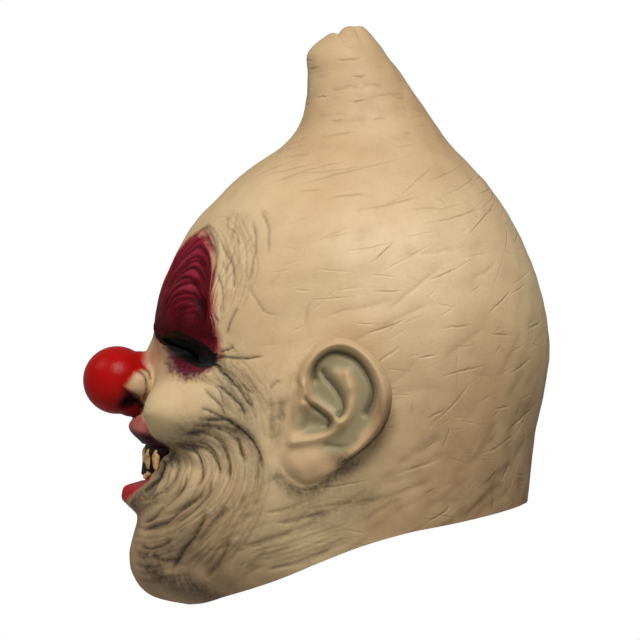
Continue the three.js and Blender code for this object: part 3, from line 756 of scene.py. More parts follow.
# Grime and painted shade: a brown wash that also stands in for shade, darker on the jaw and throat and on
# the lower back of the head and nape, away from the light, and a little darker over the topknot and crown
# as painted shade.
jaw_wash_and_shade = smoothstep(-level, 165, 215) * smoothstep(np.cos(turn), -0.1, 0.75)
nape_wash_and_shade = smoothstep(-level, 60, 200) * smoothstep(-np.cos(turn), -0.4, 0.85)
grid_paint["grime_and_shade"] = np.maximum(0.62 * jaw_wash_and_shade, 0.75 * nape_wash_and_shade) + 0.16 * smoothstep(level, -30, 20)

on_face = smoothstep(np.cos(turn), 0.3, 0.55) * smoothstep(-level, 5, 25)
on_face = np.maximum(on_face, smoothstep(np.cos(turn), 0, 0.25) * smoothstep(-level, 110, 130))
grid_paint["topknot"] = smoothstep(level, -8, 20)
# Painted light: a paler patch on the side of the dome above the ear, where the light falls most.
grid_paint["painted_light"] = np.exp(-(((plain[..., 1] - 36) / 40) ** 2) - ((level + 58) / 32) ** 2)
grid_paint["scored"] = 1 - on_face


def softened(values, steps):
    """A grid of values averaged over its neighbours."""
    for _ in range(2):
        for axis in (0, 1):
            values = sum(np.roll(values, k, axis) for k in range(-steps, steps + 1)) / (2 * steps + 1)
    return values


# Where the clay lies lower or higher than around it: darker there, as a dark wash and painted shade, or
# paler on the ridges, as drybrushed paint and a painted highlight.
hollow = softened(crease, 9) - softened(crease, 1)
lower_face = smoothstep(-level, 118, 150)
folded = np.maximum(lower_face, grid_paint["brow"])
grid_paint["crease"] = np.maximum(wash_and_shade, np.clip(hollow / 1.1, 0, 1) * 0.8 * folded)
grid_paint["ridge_paint_and_highlight"] = np.clip(-hollow / 0.6, 0, 1) * folded

# Streaks follow the fans: the distance along and across the fan, in millimetres, and where it covers.
# For each fan: their strength, the shares of its length over which they fade in and out, their fineness.
STREAKED_FANS = {
    "brow": (1.0, 0.1, 0.1, 0.55), "smile": (0.8, 0.4, 0.25, 1), "cheek": (0.6, 0.2, 0.3, 1),
    "jaw": (0.6, 0.2, 0.4, 1), "neck": (0.4, 0.3, 0.4, 1),
}
FAN_APART, FAN_MARGIN = 500, 8
for name in ("streak_along", "streak_across", "streaks"):
    grid_paint[name] = np.zeros_like(turn)
for number, (name, (strength, starts, ends, fineness)) in enumerate(STREAKED_FANS.items()):
    share = np.linspace(0, 1, 32)
    first, last = (along_curve(laid_out(places), share) for places in FOLD_FANS[name][:2])
    wide = np.linalg.norm(last - first, axis=-1)
    long = np.linalg.norm(np.diff(last, axis=0), axis=-1).sum()
    near = np.flatnonzero(beside_path(flat_round, flat_level, np.vstack([first, last]), FAN_MARGIN))
    from_first, share_first = near_path(flat_round[near], flat_level[near], first)
    from_last, share_last = near_path(flat_round[near], flat_level[near], last)
    along = (share_first + share_last) / 2
    spread = np.interp(along, share, wide)
    covers = 1 - smoothstep((from_first + from_last) / spread, 1.03, 1.3)
    covers *= strength * smoothstep(along, 0.01, starts) * smoothstep(1 - along, 0.01, ends)
    better = covers > grid_paint["streaks"].flat[near]
    near, along, covers = near[better], along[better], covers[better]
    across = (from_first / (from_first + from_last))[better]
    grid_paint["streak_along"].flat[near] = along * long
    grid_paint["streak_across"].flat[near] = across * wide.mean() * fineness + number * FAN_APART
    grid_paint["streaks"].flat[near] = covers

sculpt_places = kdtree.KDTree(turn.size)
for index, place in enumerate((sculpt * MM).reshape(-1, 3).tolist()):
    sculpt_places.insert(place, index)
sculpt_places.balance()
points = positions(skin)
ends = [Vector(p) for p in points * MM]
nearest = np.array([sculpt_places.find(point)[1] for point in ends])
paint = {name: values.ravel()[nearest].copy() for name, values in grid_paint.items()}
off_inner = distance_to(trees["inner"], ends, 3)
off_nose = distance_to(trees["nose"], ends, 3)
off_ear = np.minimum(distance_to(trees["ear_left"], ends, 3), distance_to(trees["ear_right"], ends, 3))
x, y, z = np.abs(points[:, 0]), points[:, 1], points[:, 2]
on_ear = (off_ear < 1.5) & (x > 70)
on_nose = (off_nose < 1.2) & (y < -118)

# Nose paint: red on ball, neck and strut, bare wings with a painted shadow line behind, painted shade in
# the hollow below, and the ball painted darker at its underside as shade.
WING_OUTLINE = np.array([
    (-142.4, -130.6), (-139.6, -126.4), (-136.4, -122.6), (-132.6, -124.2), (-130.8, -129),
    (-130.8, -133.8), (-132, -137.4), (-132.6, -141.3), (-134.4, -139.8), (-137.4, -136.2),
    (-141.4, -132.6),
])
WING_UNDERSIDE = np.array([
    (-146, -129.5), (-142.8, -132), (-137.4, -136.2), (-134.4, -139.8), (-131, -142.5),
])
# Painted shadow lines round each wing: places along it, darkness.
WING_SHADOW_LINES = [
    ([(-138, -120.5), (-132.4, -124), (-130.6, -129), (-130.8, -133.8), (-132, -137)], 0.85),
    ([(-133.8, -118.8), (-129.3, -122.4), (-128.4, -126)], 0.75),
    ([(-142.8, -132), (-137.4, -136.2), (-134.4, -139.8), (-132.6, -141.3)], 0.75),
]


def in_radii(places, centre, radii, turned):
    """Places seen from the centre of a turned ellipsoid, measured in its radii."""
    return (places - np.array(centre)) @ np.array(Euler(turned).to_matrix()) / radii


one_side = np.stack([x, y, z], -1)
from_ball = np.linalg.norm(points - NOSE_BALL[0], axis=-1)
strut_red = smoothstep(-z, 134, 138) * smoothstep(-x, -12.5, -9) * smoothstep(-y, 131, 135)
neck_red = smoothstep(z, -124, -119) * smoothstep(-y, 128, 135)
on_wing = smoothstep(inside_outline(y, z, WING_OUTLINE), -2.2, 2.4) * smoothstep(x, 6, 9.5)
ball_red = 1 - smoothstep(from_ball, 21, 24)
below_wing = np.interp(y, *WING_UNDERSIDE.T) - z
hollow_side = smoothstep(x, 5, 8) * smoothstep(y, -148, -141) * smoothstep(-y, 129, 132) * on_nose
# Painted shade under each wing and round the nostril hole.
paint["nostril"] = smoothstep(below_wing, -0.3, 0.8) * (1 - smoothstep(below_wing, 3, 10)) * hollow_side
in_nostril = np.linalg.norm(in_radii(one_side, *NOSTRIL), axis=-1)
round_nostril = (1 - smoothstep(in_nostril, 1.05, 1.9)) * (1 - 0.7 * on_wing)
paint["nostril"] = np.maximum(paint["nostril"], round_nostril)
# Painted shade: the ball darker towards its underside.
paint["nose_low_shade"] = smoothstep(-z, 129, 142) * smoothstep(y, -160, -140)
paint["nose"] = np.maximum.reduce([ball_red, strut_red, neck_red, paint["nostril"]])
paint["nose"] *= on_nose * (1 - on_wing)
paint["blush"] = np.maximum(paint["blush"], 0.6 * on_wing)
wing_shadow_line = np.zeros_like(x)
for places, dark in WING_SHADOW_LINES:
    apart, _ = near_path(y, z, along_curve(places, np.linspace(0, 1, 30)))
    wing_shadow_line = np.maximum(wing_shadow_line, dark * np.exp(-((apart / 0.8) ** 2)) * (x > 5))

# Ear paint: grey-green in the hollows, painted shadow in the grooves, under the rim and behind the lobe,
# and the rear rim browner and darker as grime and painted shade.
EAR_GROOVES = ("helix_groove", "fossa_groove", "concha_edge")
ear_back, ear_up = y - EAR_CENTRE[0], z - EAR_CENTRE[1]
ear_height = ear_relief(ear_back, ear_up)
in_bowl = smoothstep(-np.hypot(ear_back - 3, (ear_up - 9) / 1.25), -30, -22)
paint["ear"] = np.where(on_ear, smoothstep(-ear_height, -4, 0) * in_bowl, 0)
# Painted shadow in the ear's grooves, under the overhanging rims.
ear_groove_shadow = np.zeros_like(x)
for name in EAR_GROOVES:
    places, radius, _ = EAR_RIDGES[name]
    apart, _ = near_path(ear_back, ear_up, along_curve(places, np.linspace(0, 1, 40)))
    ear_groove_shadow = np.maximum(ear_groove_shadow, np.exp(-((apart / (0.45 * radius)) ** 2)))
paint["crease"] = np.where(on_ear, 0.7 * ear_groove_shadow, np.where(on_nose, wing_shadow_line, paint["crease"]))
for name in ("brow", "socket", "upper_lip", "lower_lip", "streaks", "ridge_paint_and_highlight", "soot_and_shadow", "scored"):
    paint[name] = np.where(on_ear | on_nose, 0, paint[name])
# Grime and painted shade on the ear's rear rim.
rear_band = smoothstep(ear_back, 16, 28) * smoothstep(-ear_up, -24, 0)
paint["grime_and_shade"] = np.where(on_ear, 0.25 + 0.6 * rear_band, paint["grime_and_shade"])
# Painted shade on the lower rear rim of the ear, and painted shadow in the crevice behind the ear and lobe.
under_rim_shade = 0.8 * np.exp(-(((ear_back - 8) / 8) ** 2) - ((ear_up + 25) / 5) ** 2)
beside_ear = (x > 60) & (np.hypot(ear_back, ear_up) < 60)
outside_ear = np.full_like(x, 99.0)
outside_ear[beside_ear] = -inside_outline(ear_back[beside_ear], ear_up[beside_ear], ear_outline[::2])
crevice_shadow = 0.3 * np.exp(-((np.maximum(outside_ear, 0) / 5) ** 2)) * (outside_ear > -0.5)
crevice_shadow = np.maximum(crevice_shadow, smoothstep(outside_ear, -2.2, -0.7) * on_ear)
crevice_shadow *= smoothstep(-ear_up, -14, 8) * smoothstep(ear_back, 1, 9)
paint["soot_and_shadow"] = np.maximum(np.where(on_ear, under_rim_shade, paint["soot_and_shadow"]), crevice_shadow)
at_slit = np.linalg.norm(in_radii(one_side, *EYE_SLIT)[:, ::2], axis=-1)
paint["slit"] = np.maximum(paint["slit"], (1 - smoothstep(at_slit, 1.1, 1.35)) * (y < -80))
paint["inside"] = (off_inner < 0.25).astype(float)
for name, values in paint.items():
    attribute = skin.data.attributes.new(name, "FLOAT", "POINT")
    attribute.data.foreach_set("value", values.astype(np.float32))

# The unrolled surface is the skin's UV map, closed at the back of the head.
loop_points = np.empty(len(skin.data.loops), int)
skin.data.loops.foreach_get("vertex_index", loop_points)
loop_starts = np.array([polygon.loop_start for polygon in skin.data.polygons])
loop_face = np.repeat(np.arange(len(loop_starts)), np.diff(np.append(loop_starts, len(loop_points))))
loop_turn = turn.ravel()[nearest][loop_points]
face_most = np.maximum.reduceat(loop_turn, loop_starts)[loop_face]
loop_turn = np.where(face_most - loop_turn > np.pi, loop_turn + 2 * np.pi, loop_turn)
girth = (around / np.where(turn == 0, 1, turn)).ravel()[nearest][loop_points]
unrolled = np.stack([loop_turn * girth, level.ravel()[nearest][loop_points]], -1) * MM
while skin.data.uv_layers:
    skin.data.uv_layers.remove(skin.data.uv_layers[0])
uv_map = skin.data.uv_layers.new(name="unrolled")
uv_map.data.foreach_set("uv", unrolled.ravel().astype(np.float32))


def colour(code):
    """A colour written in six hexadecimal digits, as the shader's linear light."""
    parts = np.array([int(code[k : k + 2], 16) / 255 for k in (0, 2, 4)])
    linear = np.where(parts <= 0.04045, parts / 12.92, ((parts + 0.055) / 1.055) ** 2.4)
    return (*linear.tolist(), 1)


def set_input(tree, socket, value):
    """A socket fed by another socket, or set to a plain value or a colour by its digits."""
    if isinstance(value, bpy.types.NodeSocket):
        tree.links.new(value, socket)
    else:
        socket.default_value = colour(value) if isinstance(value, str) else value


def add_node(tree, kind, inputs=(), **settings):
    """A shader node with its settings and inputs."""
    node = tree.nodes.new(kind)
    for name, value in settings.items():
        setattr(node, name, value)
    for name, value in dict(inputs).items():
        set_input(tree, node.inputs[name], value)
    return node


def blend(tree, share, under, over):
    """One colour laid over another."""
    node = add_node(tree, "ShaderNodeMix", data_type="RGBA")
    for index, value in ((0, share), (6, under), (7, over)):
        set_input(tree, node.inputs[index], value)
    return node.outputs[2]


def result_of(tree, operation, *values):
    """The result of a Math node."""
    return add_node(tree, "ShaderNodeMath", enumerate(values), operation=operation).outputs[0]


def times(tree, first, second):
    """The product of two values."""
    return result_of(tree, "MULTIPLY", first, second)


def ramp(tree, value, low, high, start=0.0, end=1.0):
    """A value carried from one range to another, held at its ends."""
    return add_node(tree, "ShaderNodeMapRange", {0: value, 1: low, 2: high, 3: start, 4: end}).outputs[0]


def noise(tree, place, scale, detail=3.0, roughness=0.55):
    """A noise that changes over a length of one over its scale, in metres."""
    inputs = {"Vector": place, "Scale": scale, "Detail": detail, "Roughness": roughness}
    return add_node(tree, "ShaderNodeTexNoise", inputs).outputs[0]


def mask(tree, name):
    """A mask painted on the piece's points."""
    return add_node(tree, "ShaderNodeAttribute", attribute_name=name).outputs["Fac"]


def new_material(name):
    """A material, its node tree and its shader."""
    material = bpy.data.materials.new(name)
    material.use_nodes = True
    return material, material.node_tree, material.node_tree.nodes["Principled BSDF"]


# Scratches: in each cell of a random net, one straight stroke of its own direction and length.
SCRATCH_SIZES = ("Cell", "Slope", "Spread", "Length", "Width")
scratches = bpy.data.node_groups.new("scratches", "ShaderNodeTree")
scratches.interface.new_socket("Place", in_out="INPUT", socket_type="NodeSocketVector")
for name in SCRATCH_SIZES:
    scratches.interface.new_socket(name, in_out="INPUT", socket_type="NodeSocketFloat")
scratches.interface.new_socket("Mask", in_out="OUTPUT", socket_type="NodeSocketFloat")
given = scratches.nodes.new("NodeGroupInput").outputs
waver = add_node(scratches, "ShaderNodeTexNoise", {"Vector": given["Place"], "Scale": 40.0, "Detail": 1.0})
bend = add_node(
    scratches, "ShaderNodeVectorMath", {0: waver.outputs["Color"], "Scale": 0.003}, operation="SCALE"
).outputs[0]
bent_place = add_node(
    scratches, "ShaderNodeVectorMath", {0: given["Place"], 1: bend}, operation="ADD"
).outputs[0]
cells = add_node(
    scratches, "ShaderNodeTexVoronoi",
    {"Vector": bent_place, "Scale": result_of(scratches, "DIVIDE", 1.0, given["Cell"])},
    voronoi_dimensions="2D",
).outputs
from_cell = add_node(
    scratches, "ShaderNodeVectorMath", {0: bent_place, 1: cells["Position"]}, operation="SUBTRACT"
).outputs[0]
draws = add_node(scratches, "ShaderNodeSeparateColor", {0: cells["Color"]}).outputs
lean = result_of(scratches, "SUBTRACT", draws[0], 0.5)
lean = result_of(scratches, "MULTIPLY_ADD", lean, given["Spread"], given["Slope"])
turned = add_node(
    scratches, "ShaderNodeVectorRotate", {"Vector": from_cell, "Angle": times(scratches, lean, -1.0)},
    rotation_type="Z_AXIS",
).outputs[0]
ways = add_node(scratches, "ShaderNodeSeparateXYZ", {0: turned}).outputs
reach = times(scratches, given["Length"], result_of(scratches, "MULTIPLY_ADD", draws[1], 0.7, 0.3))
past_end = result_of(scratches, "DIVIDE", result_of(scratches, "ABSOLUTE", ways[0]), reach)
off_line = result_of(scratches, "DIVIDE", result_of(scratches, "ABSOLUTE", ways[1]), given["Width"])
kept_length = ramp(scratches, past_end, 0.3, 1.0, 1.0, 0.0)
line = times(scratches, kept_length, ramp(scratches, off_line, 0.0, 1.0, 1.0, 0.0))
line = times(scratches, line, ramp(scratches, draws[2], 0.1, 0.8))
scratches.links.new(line, scratches.nodes.new("NodeGroupOutput").inputs[0])

latex, tree, shader = new_material("painted_latex")
coordinates = add_node(tree, "ShaderNodeTexCoord").outputs
place, layout = coordinates["Object"], coordinates["UV"]
broad = noise(tree, place, 18, 3)
middle = noise(tree, place, 70, 4)
fine = noise(tree, place, 420, 4)
streak_place = add_node(
    tree, "ShaderNodeCombineXYZ",
    {0: times(tree, mask(tree, "streak_along"), 0.045),
     1: times(tree, mask(tree, "streak_across"), 0.6)},
).outputs[0]
streak = noise(tree, streak_place, 1.0, 3.0, 0.6)
fan = mask(tree, "streaks")
bare = times(tree, result_of(tree, "SUBTRACT", 1.0, fan), mask(tree, "scored"))
on_topknot = mask(tree, "topknot")
on_dome = result_of(tree, "SUBTRACT", 1.0, on_topknot)
faint = times(tree, on_dome, 0.5)
stroke = 0.0
# Layers of scratches: where they lie, then their sizes.
for where, *sizes in (
    (faint, 0.019, 0.35, 1.4, 0.011, 0.0009),
    (faint, 0.024, 0.15, 0.9, 0.014, 0.0009),
    (on_dome, 0.062, 0.42, 0.5, 0.034, 0.0014),
    (on_dome, 0.054, 0.1, 0.4, 0.03, 0.0012),
    (on_dome, 0.046, 0.5, 0.6, 0.026, 0.0013),
    (on_dome, 0.037, 0.3, 0.8, 0.02, 0.0011),
    (on_dome, 0.029, 0.7, 2.2, 0.015, 0.0010),
    (on_topknot, 0.026, 0.05, 0.3, 0.013, 0.0012),
    (on_topknot, 0.017, -0.05, 0.3, 0.009, 0.0010),
):
    inputs = dict(zip(SCRATCH_SIZES, sizes), Place=layout)
    group = add_node(tree, "ShaderNodeGroup", inputs, node_tree=scratches)
    stroke = result_of(tree, "MAXIMUM", stroke, times(tree, group.outputs[0], where))
stroke = times(tree, stroke, bare)

tone = blend(tree, ramp(tree, broad, 0.35, 0.65), "dabd8f", "d2b082")
# Painted light: the side of the dome above the ear painted paler.
tone = blend(tree, times(tree, mask(tree, "painted_light"), 0.75), tone, "e6cba2")
tone = blend(tree, ramp(tree, middle, 0.5, 0.75, 0, 0.3), tone, "bfa379")
tone = blend(tree, ramp(tree, fine, 0.52, 0.7, 0, 0.2), tone, "bda27a")
blush = times(tree, mask(tree, "blush"), ramp(tree, middle, 0.35, 0.65, 0.3, 0.65))
tone = blend(tree, blush, tone, "b06a58")
tone = blend(tree, ramp(tree, stroke, 0.3, 1.0, 0, 0.16), tone, "7d6549")
# Grime and painted shade: browner and darker on the jaw, the nape, the topknot and the ear's rear rim.
grime_and_shade = times(tree, mask(tree, "grime_and_shade"), ramp(tree, middle, 0.3, 0.7, 0.75, 1.15))
tone = blend(tree, grime_and_shade, tone, "8e6848")
# Soot and painted shadow: a dark brown, broken up by the streaks and fine noise.
patchy = ramp(tree, result_of(tree, "ADD", streak, fine), 0.75, 1.3, 0.6, 1.35)
tone = blend(tree, times(tree, mask(tree, "soot_and_shadow"), patchy), tone, "443525")
tone = blend(tree, times(tree, fan, ramp(tree, streak, 0.5, 0.7, 0, 0.6)), tone, "6b563a")
# Paler streaks in the folds, and paler paint on the ridges that is also a painted highlight.
pale = times(tree, fan, ramp(tree, streak, 0.46, 0.3, 0, 0.35))
pale = result_of(tree, "MAXIMUM", pale, times(tree, mask(tree, "ridge_paint_and_highlight"), 0.45))
tone = blend(tree, pale, tone, "cdb78f")
tone = blend(tree, times(tree, mask(tree, "ear"), 0.8), tone, "8a8262")
# Dark wash and painted shade in the creases, and painted shadow in the ear grooves and beside the nose
# wings.
dark = times(tree, mask(tree, "crease"), ramp(tree, fine, 0.3, 0.6, 0.7, 1.1))
tone = blend(tree, dark, tone, "352b1d")
red_brow = blend(tree, ramp(tree, streak, 0.36, 0.64), "86101f", "3a050b")
# Painted highlight and paler paint on the ridges of the brow.
red_brow = blend(tree, ramp(tree, mask(tree, "ridge_paint_and_highlight"), 0.1, 0.9, 0, 0.6), red_brow, "a8384a")
red_brow = blend(tree, ramp(tree, middle, 0.45, 0.7, 0, 0.5), red_brow, "520814")
# Painted shade and light: the red is darker towards the bottom of the brow and lighter towards its top.
brow_level = add_node(tree, "ShaderNodeSeparateXYZ", {0: place}).outputs[2]
red_brow = blend(tree, ramp(tree, brow_level, -0.072, -0.098, 0, 0.8), red_brow, "42050d")
red_brow = blend(tree, ramp(tree, brow_level, -0.066, -0.046, 0, 0.45), red_brow, "a02338")
# The red paler towards its edges, as the paint thins out and as a painted sheen.
red_brow = blend(tree, ramp(tree, mask(tree, "brow"), 0.9, 0.4, 0, 0.7), red_brow, "b5324a")
# Painted shade in the brow's creases.
red_brow = blend(tree, ramp(tree, mask(tree, "crease"), 0.15, 0.7, 0, 0.9), red_brow, "27030a")
brow_cover = times(tree, mask(tree, "brow"), 1.7)
brow_edge = ramp(tree, result_of(tree, "MULTIPLY_ADD", streak, 2.0, brow_cover), 1.4, 2.3)
tone = blend(tree, brow_edge, tone, red_brow)
edge = ramp(tree, result_of(tree, "MULTIPLY_ADD", fine, 0.9, mask(tree, "socket")), 0.7, 1.25)
tone = blend(tree, edge, tone, blend(tree, ramp(tree, fine, 0.4, 0.65), "420a16", "7a1c30"))
edge = ramp(tree, result_of(tree, "MULTIPLY_ADD", fine, 0.4, mask(tree, "upper_lip")), 0.5, 1.0)
tone = blend(tree, edge, tone, blend(tree, mask(tree, "lip_dark"), "c06a62", "3e0814"))
edge = ramp(tree, result_of(tree, "MULTIPLY_ADD", fine, 0.8, mask(tree, "lower_lip")), 0.65, 1.3)
tone = blend(tree, edge, tone, "b80f24")
red_nose = blend(tree, ramp(tree, broad, 0.4, 0.6), "b00905", "9c0605")
# Painted shade on the underside of the ball.
red_nose = blend(tree, times(tree, mask(tree, "nose_low_shade"), 0.75), red_nose, "520408")
tone = blend(tree, mask(tree, "nose"), tone, red_nose)
# Painted shade in the nostrils.
tone = blend(tree, mask(tree, "nostril"), tone, "2c040a")
tone = blend(tree, mask(tree, "inside"), tone, "b8a684")
edge = ramp(tree, result_of(tree, "MULTIPLY_ADD", fine, 0.7, mask(tree, "slit")), 0.55, 0.95)
tone = blend(tree, edge, tone, "0d0908")
tree.links.new(tone, shader.inputs["Base Color"])
dull = ramp(tree, middle, 0.3, 0.7, 0.44, 0.58)
gloss = result_of(tree, "MAXIMUM", mask(tree, "nose"), mask(tree, "lower_lip"))
tree.links.new(result_of(tree, "SUBTRACT", dull, times(tree, gloss, 0.2)), shader.inputs["Roughness"])
grain = result_of(tree, "MULTIPLY_ADD", noise(tree, place, 900, 2), 0.35, times(tree, fine, 0.5))
grain = result_of(tree, "SUBTRACT", grain, times(tree, fan, times(tree, streak, 1.6)))
bump = add_node(tree, "ShaderNodeBump", {"Strength": 0.5, "Distance": 0.6 * MM, "Height": grain})
scored = add_node(
    tree, "ShaderNodeBump",
    {"Strength": 1.0, "Distance": 0.5 * MM, "Height": stroke, "Normal": bump.outputs[0]}, invert=True,
)
tree.links.new(scored.outputs[0], shader.inputs["Normal"])
matt = result_of(tree, "MAXIMUM", times(tree, brow_edge, 1.4), mask(tree, "nostril"))
lips = result_of(tree, "MAXIMUM", mask(tree, "upper_lip"), mask(tree, "lower_lip"))
matt = result_of(tree, "MAXIMUM", matt, times(tree, lips, 1.4))
shine = ramp(tree, result_of(tree, "MAXIMUM", mask(tree, "nose"), matt), 0, 1.4, 0.32, 0.08)
tree.links.new(shine, shader.inputs["Specular IOR Level"])
skin.data.materials.clear()
skin.data.materials.append(latex)
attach(skin, "root")
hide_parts("latex_skin")

# Mouth lining
# A patch of latex glued behind the mouth opening, painted a very dark wet red. It carries the teeth.
LINING_TURN, LINING_TOP, LINING_BOTTOM = 0.62, -154, -204
GAP, LINING_THICK = 0.3, 1.8
PATCH_STEP = 3
GUM_RISE = 4.8  # of the lining inside the mouth opening, where it is pressed out to a gum
shaped_normals = grid_normals(shaped)
rows = np.flatnonzero((level[:, 0] < LINING_TOP) & (level[:, 0] > LINING_BOTTOM))[::PATCH_STEP]
columns = np.flatnonzero(np.abs(turn[0]) < LINING_TURN)[::PATCH_STEP]
window = np.ix_(rows, columns)
mouth_share = np.minimum(np.abs(shaped[window][..., 0]) / MOUTH_HALF, 1)
_, mouth_floor = mouth_edges(mouth_share)
inside_mouth = np.minimum(lip_edge[window] - shaped[window][..., 2], shaped[window][..., 2] - mouth_floor)
gum = GUM_RISE * smoothstep(inside_mouth, 0.6, 4)
near, far = (
    shaped[window] + shaped_normals[window] * (gum - sunk)[..., None]
    for sunk in (WALL + GAP, WALL + GAP + LINING_THICK)
)
lining = closed_grid("mouth_lining_visual", np.concatenate([near, far[:, ::-1]], axis=1))
for polygon in lining.data.polygons:
    polygon.use_smooth = len(polygon.vertices) == 4
wet_red, tree, shader = new_material("mouth_red")
place = add_node(tree, "ShaderNodeTexCoord").outputs["Object"]
blotch = noise(tree, place, 160, 4)
red = blend(tree, ramp(tree, blotch, 0.4, 0.65), "0e0204", "2c060b")
tree.links.new(red, shader.inputs["Base Color"])
tree.links.new(ramp(tree, blotch, 0.3, 0.7, 0.45, 0.65), shader.inputs["Roughness"])
shader.inputs["Specular IOR Level"].default_value = 0.15
bump = add_node(tree, "ShaderNodeBump", {"Strength": 0.4, "Distance": 0.5 * MM, "Height": blotch})
tree.links.new(bump.outputs[0], shader.inputs["Normal"])
lining.data.materials.append(wet_red)
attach(lining, "root")
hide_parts("mouth_lining")

# Eye gauze
# A patch of black open gauze glued behind each eye slit. The wearer looks through it.
GAUZE_TURNS, GAUZE_HEIGHTS = (0.16, 0.8), (-97, -122)
GAUZE_SINK, GAUZE_THICK = 2.4, 1
GAUZE_COLUMNS, GAUZE_ROWS = 48, 30
gauze_rows = np.interp(-np.linspace(*GAUZE_HEIGHTS, GAUZE_ROWS), -level[:, 0], depth[:, 0])
gauze_turn, gauze_depth = np.meshgrid(np.linspace(*GAUZE_TURNS, GAUZE_COLUMNS), gauze_rows)
gauze_base = head_points(gauze_turn, along_curve(HEAD_SECTIONS, gauze_depth))
step_round, step_down = (np.gradient(gauze_base, axis=axis) for axis in (1, 0))
gauze_normal = np.cross(step_down, step_round)
gauze_normal /= np.linalg.norm(gauze_normal, axis=-1, keepdims=True)
centre, middle_height, inward, _, up_reach, _, top = SWELLINGS["eye_socket"]
across_socket = (gauze_base[..., 0] - centre) / inward
up_socket = (gauze_base[..., 2] - middle_height) / up_reach
bowed = top * np.exp(-(across_socket**2) - up_socket**2)
near, far = (
    gauze_base + gauze_normal * (bowed - sunk)[..., None]
    for sunk in (GAUZE_SINK, GAUZE_SINK + GAUZE_THICK)
)
gauze_loop = np.concatenate([near, far[:, ::-1]], axis=1)
black_gauze, tree, shader = new_material("black_gauze")
place = add_node(tree, "ShaderNodeTexCoord").outputs["Object"]
weave = noise(tree, place, 900, 2)
black = blend(tree, ramp(tree, weave, 0.5, 0.7), "070606", "171617")
tree.links.new(black, shader.inputs["Base Color"])
shader.inputs["Roughness"].default_value = 0.9
for name, points in (("left", gauze_loop), ("right", (gauze_loop * (-1, 1, 1))[:, ::-1])):
    gauze = closed_grid(f"eye_gauze_{name}_visual", points)
    gauze.data.materials.append(black_gauze)
    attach(gauze, "root")
    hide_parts(f"eye_gauze_{name}")

# Teeth
# Separate pegs of hard latex, yellowed ivory with brown stains, glued to the lining with dark gaps between.
# Place aside, heights of root and tip, width, how far it stands off, lean.
TEETH = {
    "upper_tooth_front": (16.4, -167, -177, 5, 6, -0.1),
    "upper_tooth_middle": (26.2, -167.6, -180, 7.4, 6.6, 0.06),
    "upper_tooth_back": (35.6, -168, -180, 6.6, 6, 0.04),
    "lower_tooth_front": (17.6, -186.4, -182.4, 4.2, 4.9, 0.04),
    "lower_tooth_back": (24, -184.4, -181, 4, 5.2, -0.06),
}
# A tooth's half width along it, from its root to its tip.
TOOTH_PROFILE = [(0, 0.2), (0.14, 0.6), (0.36, 1), (0.72, 0.8), (0.94, 0.56), (1, 0.3)]
TOOTH_THICK = 4.4
TOOTH_SEGMENTS, TOOTH_RINGS = 12, 14
ivory, tree, shader = new_material("yellow_ivory")
place = add_node(tree, "ShaderNodeTexCoord").outputs["Object"]
stain = noise(tree, place, 240, 3)
yellowed = blend(tree, ramp(tree, stain, 0.45, 0.68), "d9b27a", "ad6a26")
tree.links.new(yellowed, shader.inputs["Base Color"])
shader.inputs["Roughness"].default_value = 0.4
for name, (x, root, tip, width, stands_off, lean) in TEETH.items():
    for side_name, side in (("left", 1), ("right", -1)):
        row = np.argmin(np.abs(level[:, 0] - (root + tip) / 2))
        column = np.argmin(np.where(np.abs(turn[row]) < 1.2, np.abs(shaped[row, :, 0] - side * x), 99))
        out = shaped_normals[row, column] * (1, 1, 0)
        out /= np.linalg.norm(out)
        centre = shaped[row, column] + out * (stands_off - WALL - TOOTH_THICK / 2)
        centre[2] = (root + tip) / 2
        bpy.ops.mesh.primitive_uv_sphere_add(segments=TOOTH_SEGMENTS, ring_count=TOOTH_RINGS)
        tooth = bpy.context.object
        tooth.name = f"{name}_{side_name}_visual"
        tooth.scale = (width / 2 * MM, TOOTH_THICK / 2 * MM, abs(root - tip) / 2 * MM)
        bpy.ops.object.transform_apply(location=True, rotation=True, scale=True)
        for vertex in tooth.data.vertices:
            way = 0.5 + vertex.co.z / (tip - root) / MM
            round_now = max(2 * np.sqrt(max(way * (1 - way), 0)), 0.05)
            widen = np.interp(way, *np.transpose(TOOTH_PROFILE)) / round_now
            vertex.co.x *= widen
            vertex.co.y *= widen
        tooth.rotation_euler = (0, side * lean, np.arctan2(out[0], -out[1]))
        tooth.location = Vector(centre) * MM
        bpy.ops.object.transform_apply(location=True, rotation=True, scale=True)
        bpy.ops.object.shade_smooth_by_angle(angle=np.radians(40))
        tooth.data.materials.append(ivory)
        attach(tooth, "root")
        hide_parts(f"{name}_{side_name}")

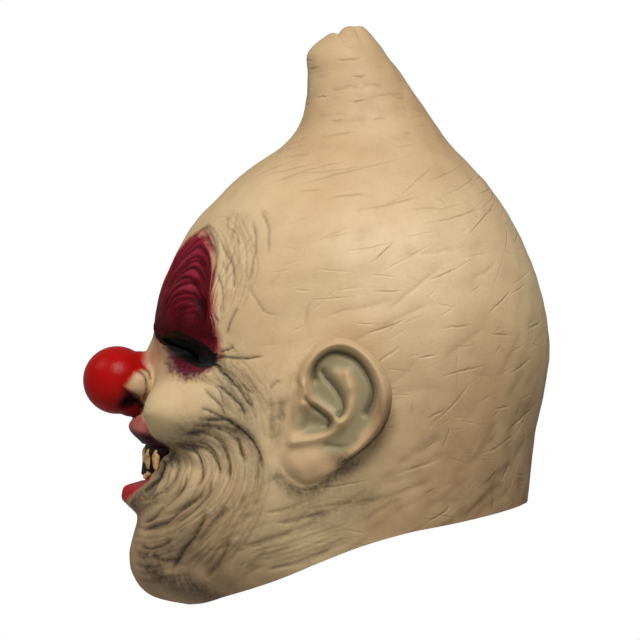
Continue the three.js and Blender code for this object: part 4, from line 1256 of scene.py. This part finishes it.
# Floor
# A sheet of plain grey paper, laid flat well below the mask, which is held up clear of it.
FLOOR_DROP, FLOOR_SIDE, FLOOR_NEAR, FLOOR_FAR = 0.36, 5, 3, -1
bpy.ops.mesh.primitive_plane_add(size=1)
floor = bpy.context.object
floor.name = "floor"
floor.scale = (FLOOR_NEAR - FLOOR_FAR, FLOOR_SIDE, 1)
floor.location = ((FLOOR_NEAR + FLOOR_FAR) / 2, 0, -FLOOR_DROP)
bpy.ops.object.transform_apply(location=True, rotation=True, scale=True)
paper, _, shader = new_material("grey_paper")
shader.inputs["Base Color"].default_value = (0.4, 0.4, 0.4, 1)
floor.data.materials.append(paper)
floor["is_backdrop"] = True

# Studio light
# A large soft box over the camera, a weaker one high before the face, and a dim white room.
SUBJECT = Vector((0, -0.02, -0.1))
ROOM_LIGHT = 0.22
for name, place, size, power in (
    ("key_box", (2.1, 0.1, 1.9), 1.4, 67),
    ("front_box", (0.5, -1.9, 1.7), 0.9, 9),
):
    lamp = bpy.data.lights.new(name, "AREA")
    lamp.size, lamp.energy = size, power
    holder = bpy.data.objects.new(name, lamp)
    holder.location = place
    holder.rotation_euler = (SUBJECT - Vector(place)).to_track_quat("-Z", "Y").to_euler()
    bpy.context.collection.objects.link(holder)
world = bpy.data.worlds.new("studio")
bpy.context.scene.world = world
world.use_nodes = True
tree = world.node_tree
room = tree.nodes["Background"]
room.inputs["Color"].default_value = (1, 1, 1, 1)
room.inputs["Strength"].default_value = ROOM_LIGHT
backdrop = add_node(tree, "ShaderNodeBackground", {"Color": (1, 1, 1, 1), "Strength": 1.0})
seen_directly = add_node(tree, "ShaderNodeLightPath").outputs["Is Camera Ray"]
either = add_node(
    tree, "ShaderNodeMixShader", {0: seen_directly, 1: room.outputs[0], 2: backdrop.outputs[0]}
)
tree.links.new(either.outputs[0], tree.nodes["World Output"].inputs["Surface"])
bpy.context.scene.view_settings.view_transform = "Standard"

# Camera
# Level with the mask and square to its left side, far enough away to see it almost without perspective.
VIEW_SPAN, SENSOR = 384, 36
camera = bpy.data.objects.new("camera", bpy.data.cameras.new("camera"))
camera.location = Vector((VIEW_DISTANCE, *VIEW_CENTRE)) * MM
camera.rotation_euler = (np.pi / 2, 0, np.pi / 2)
camera.data.sensor_width = SENSOR
camera.data.lens = SENSOR * VIEW_DISTANCE / VIEW_SPAN
bpy.context.collection.objects.link(camera)
bpy.context.scene.camera = camera

low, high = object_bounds()
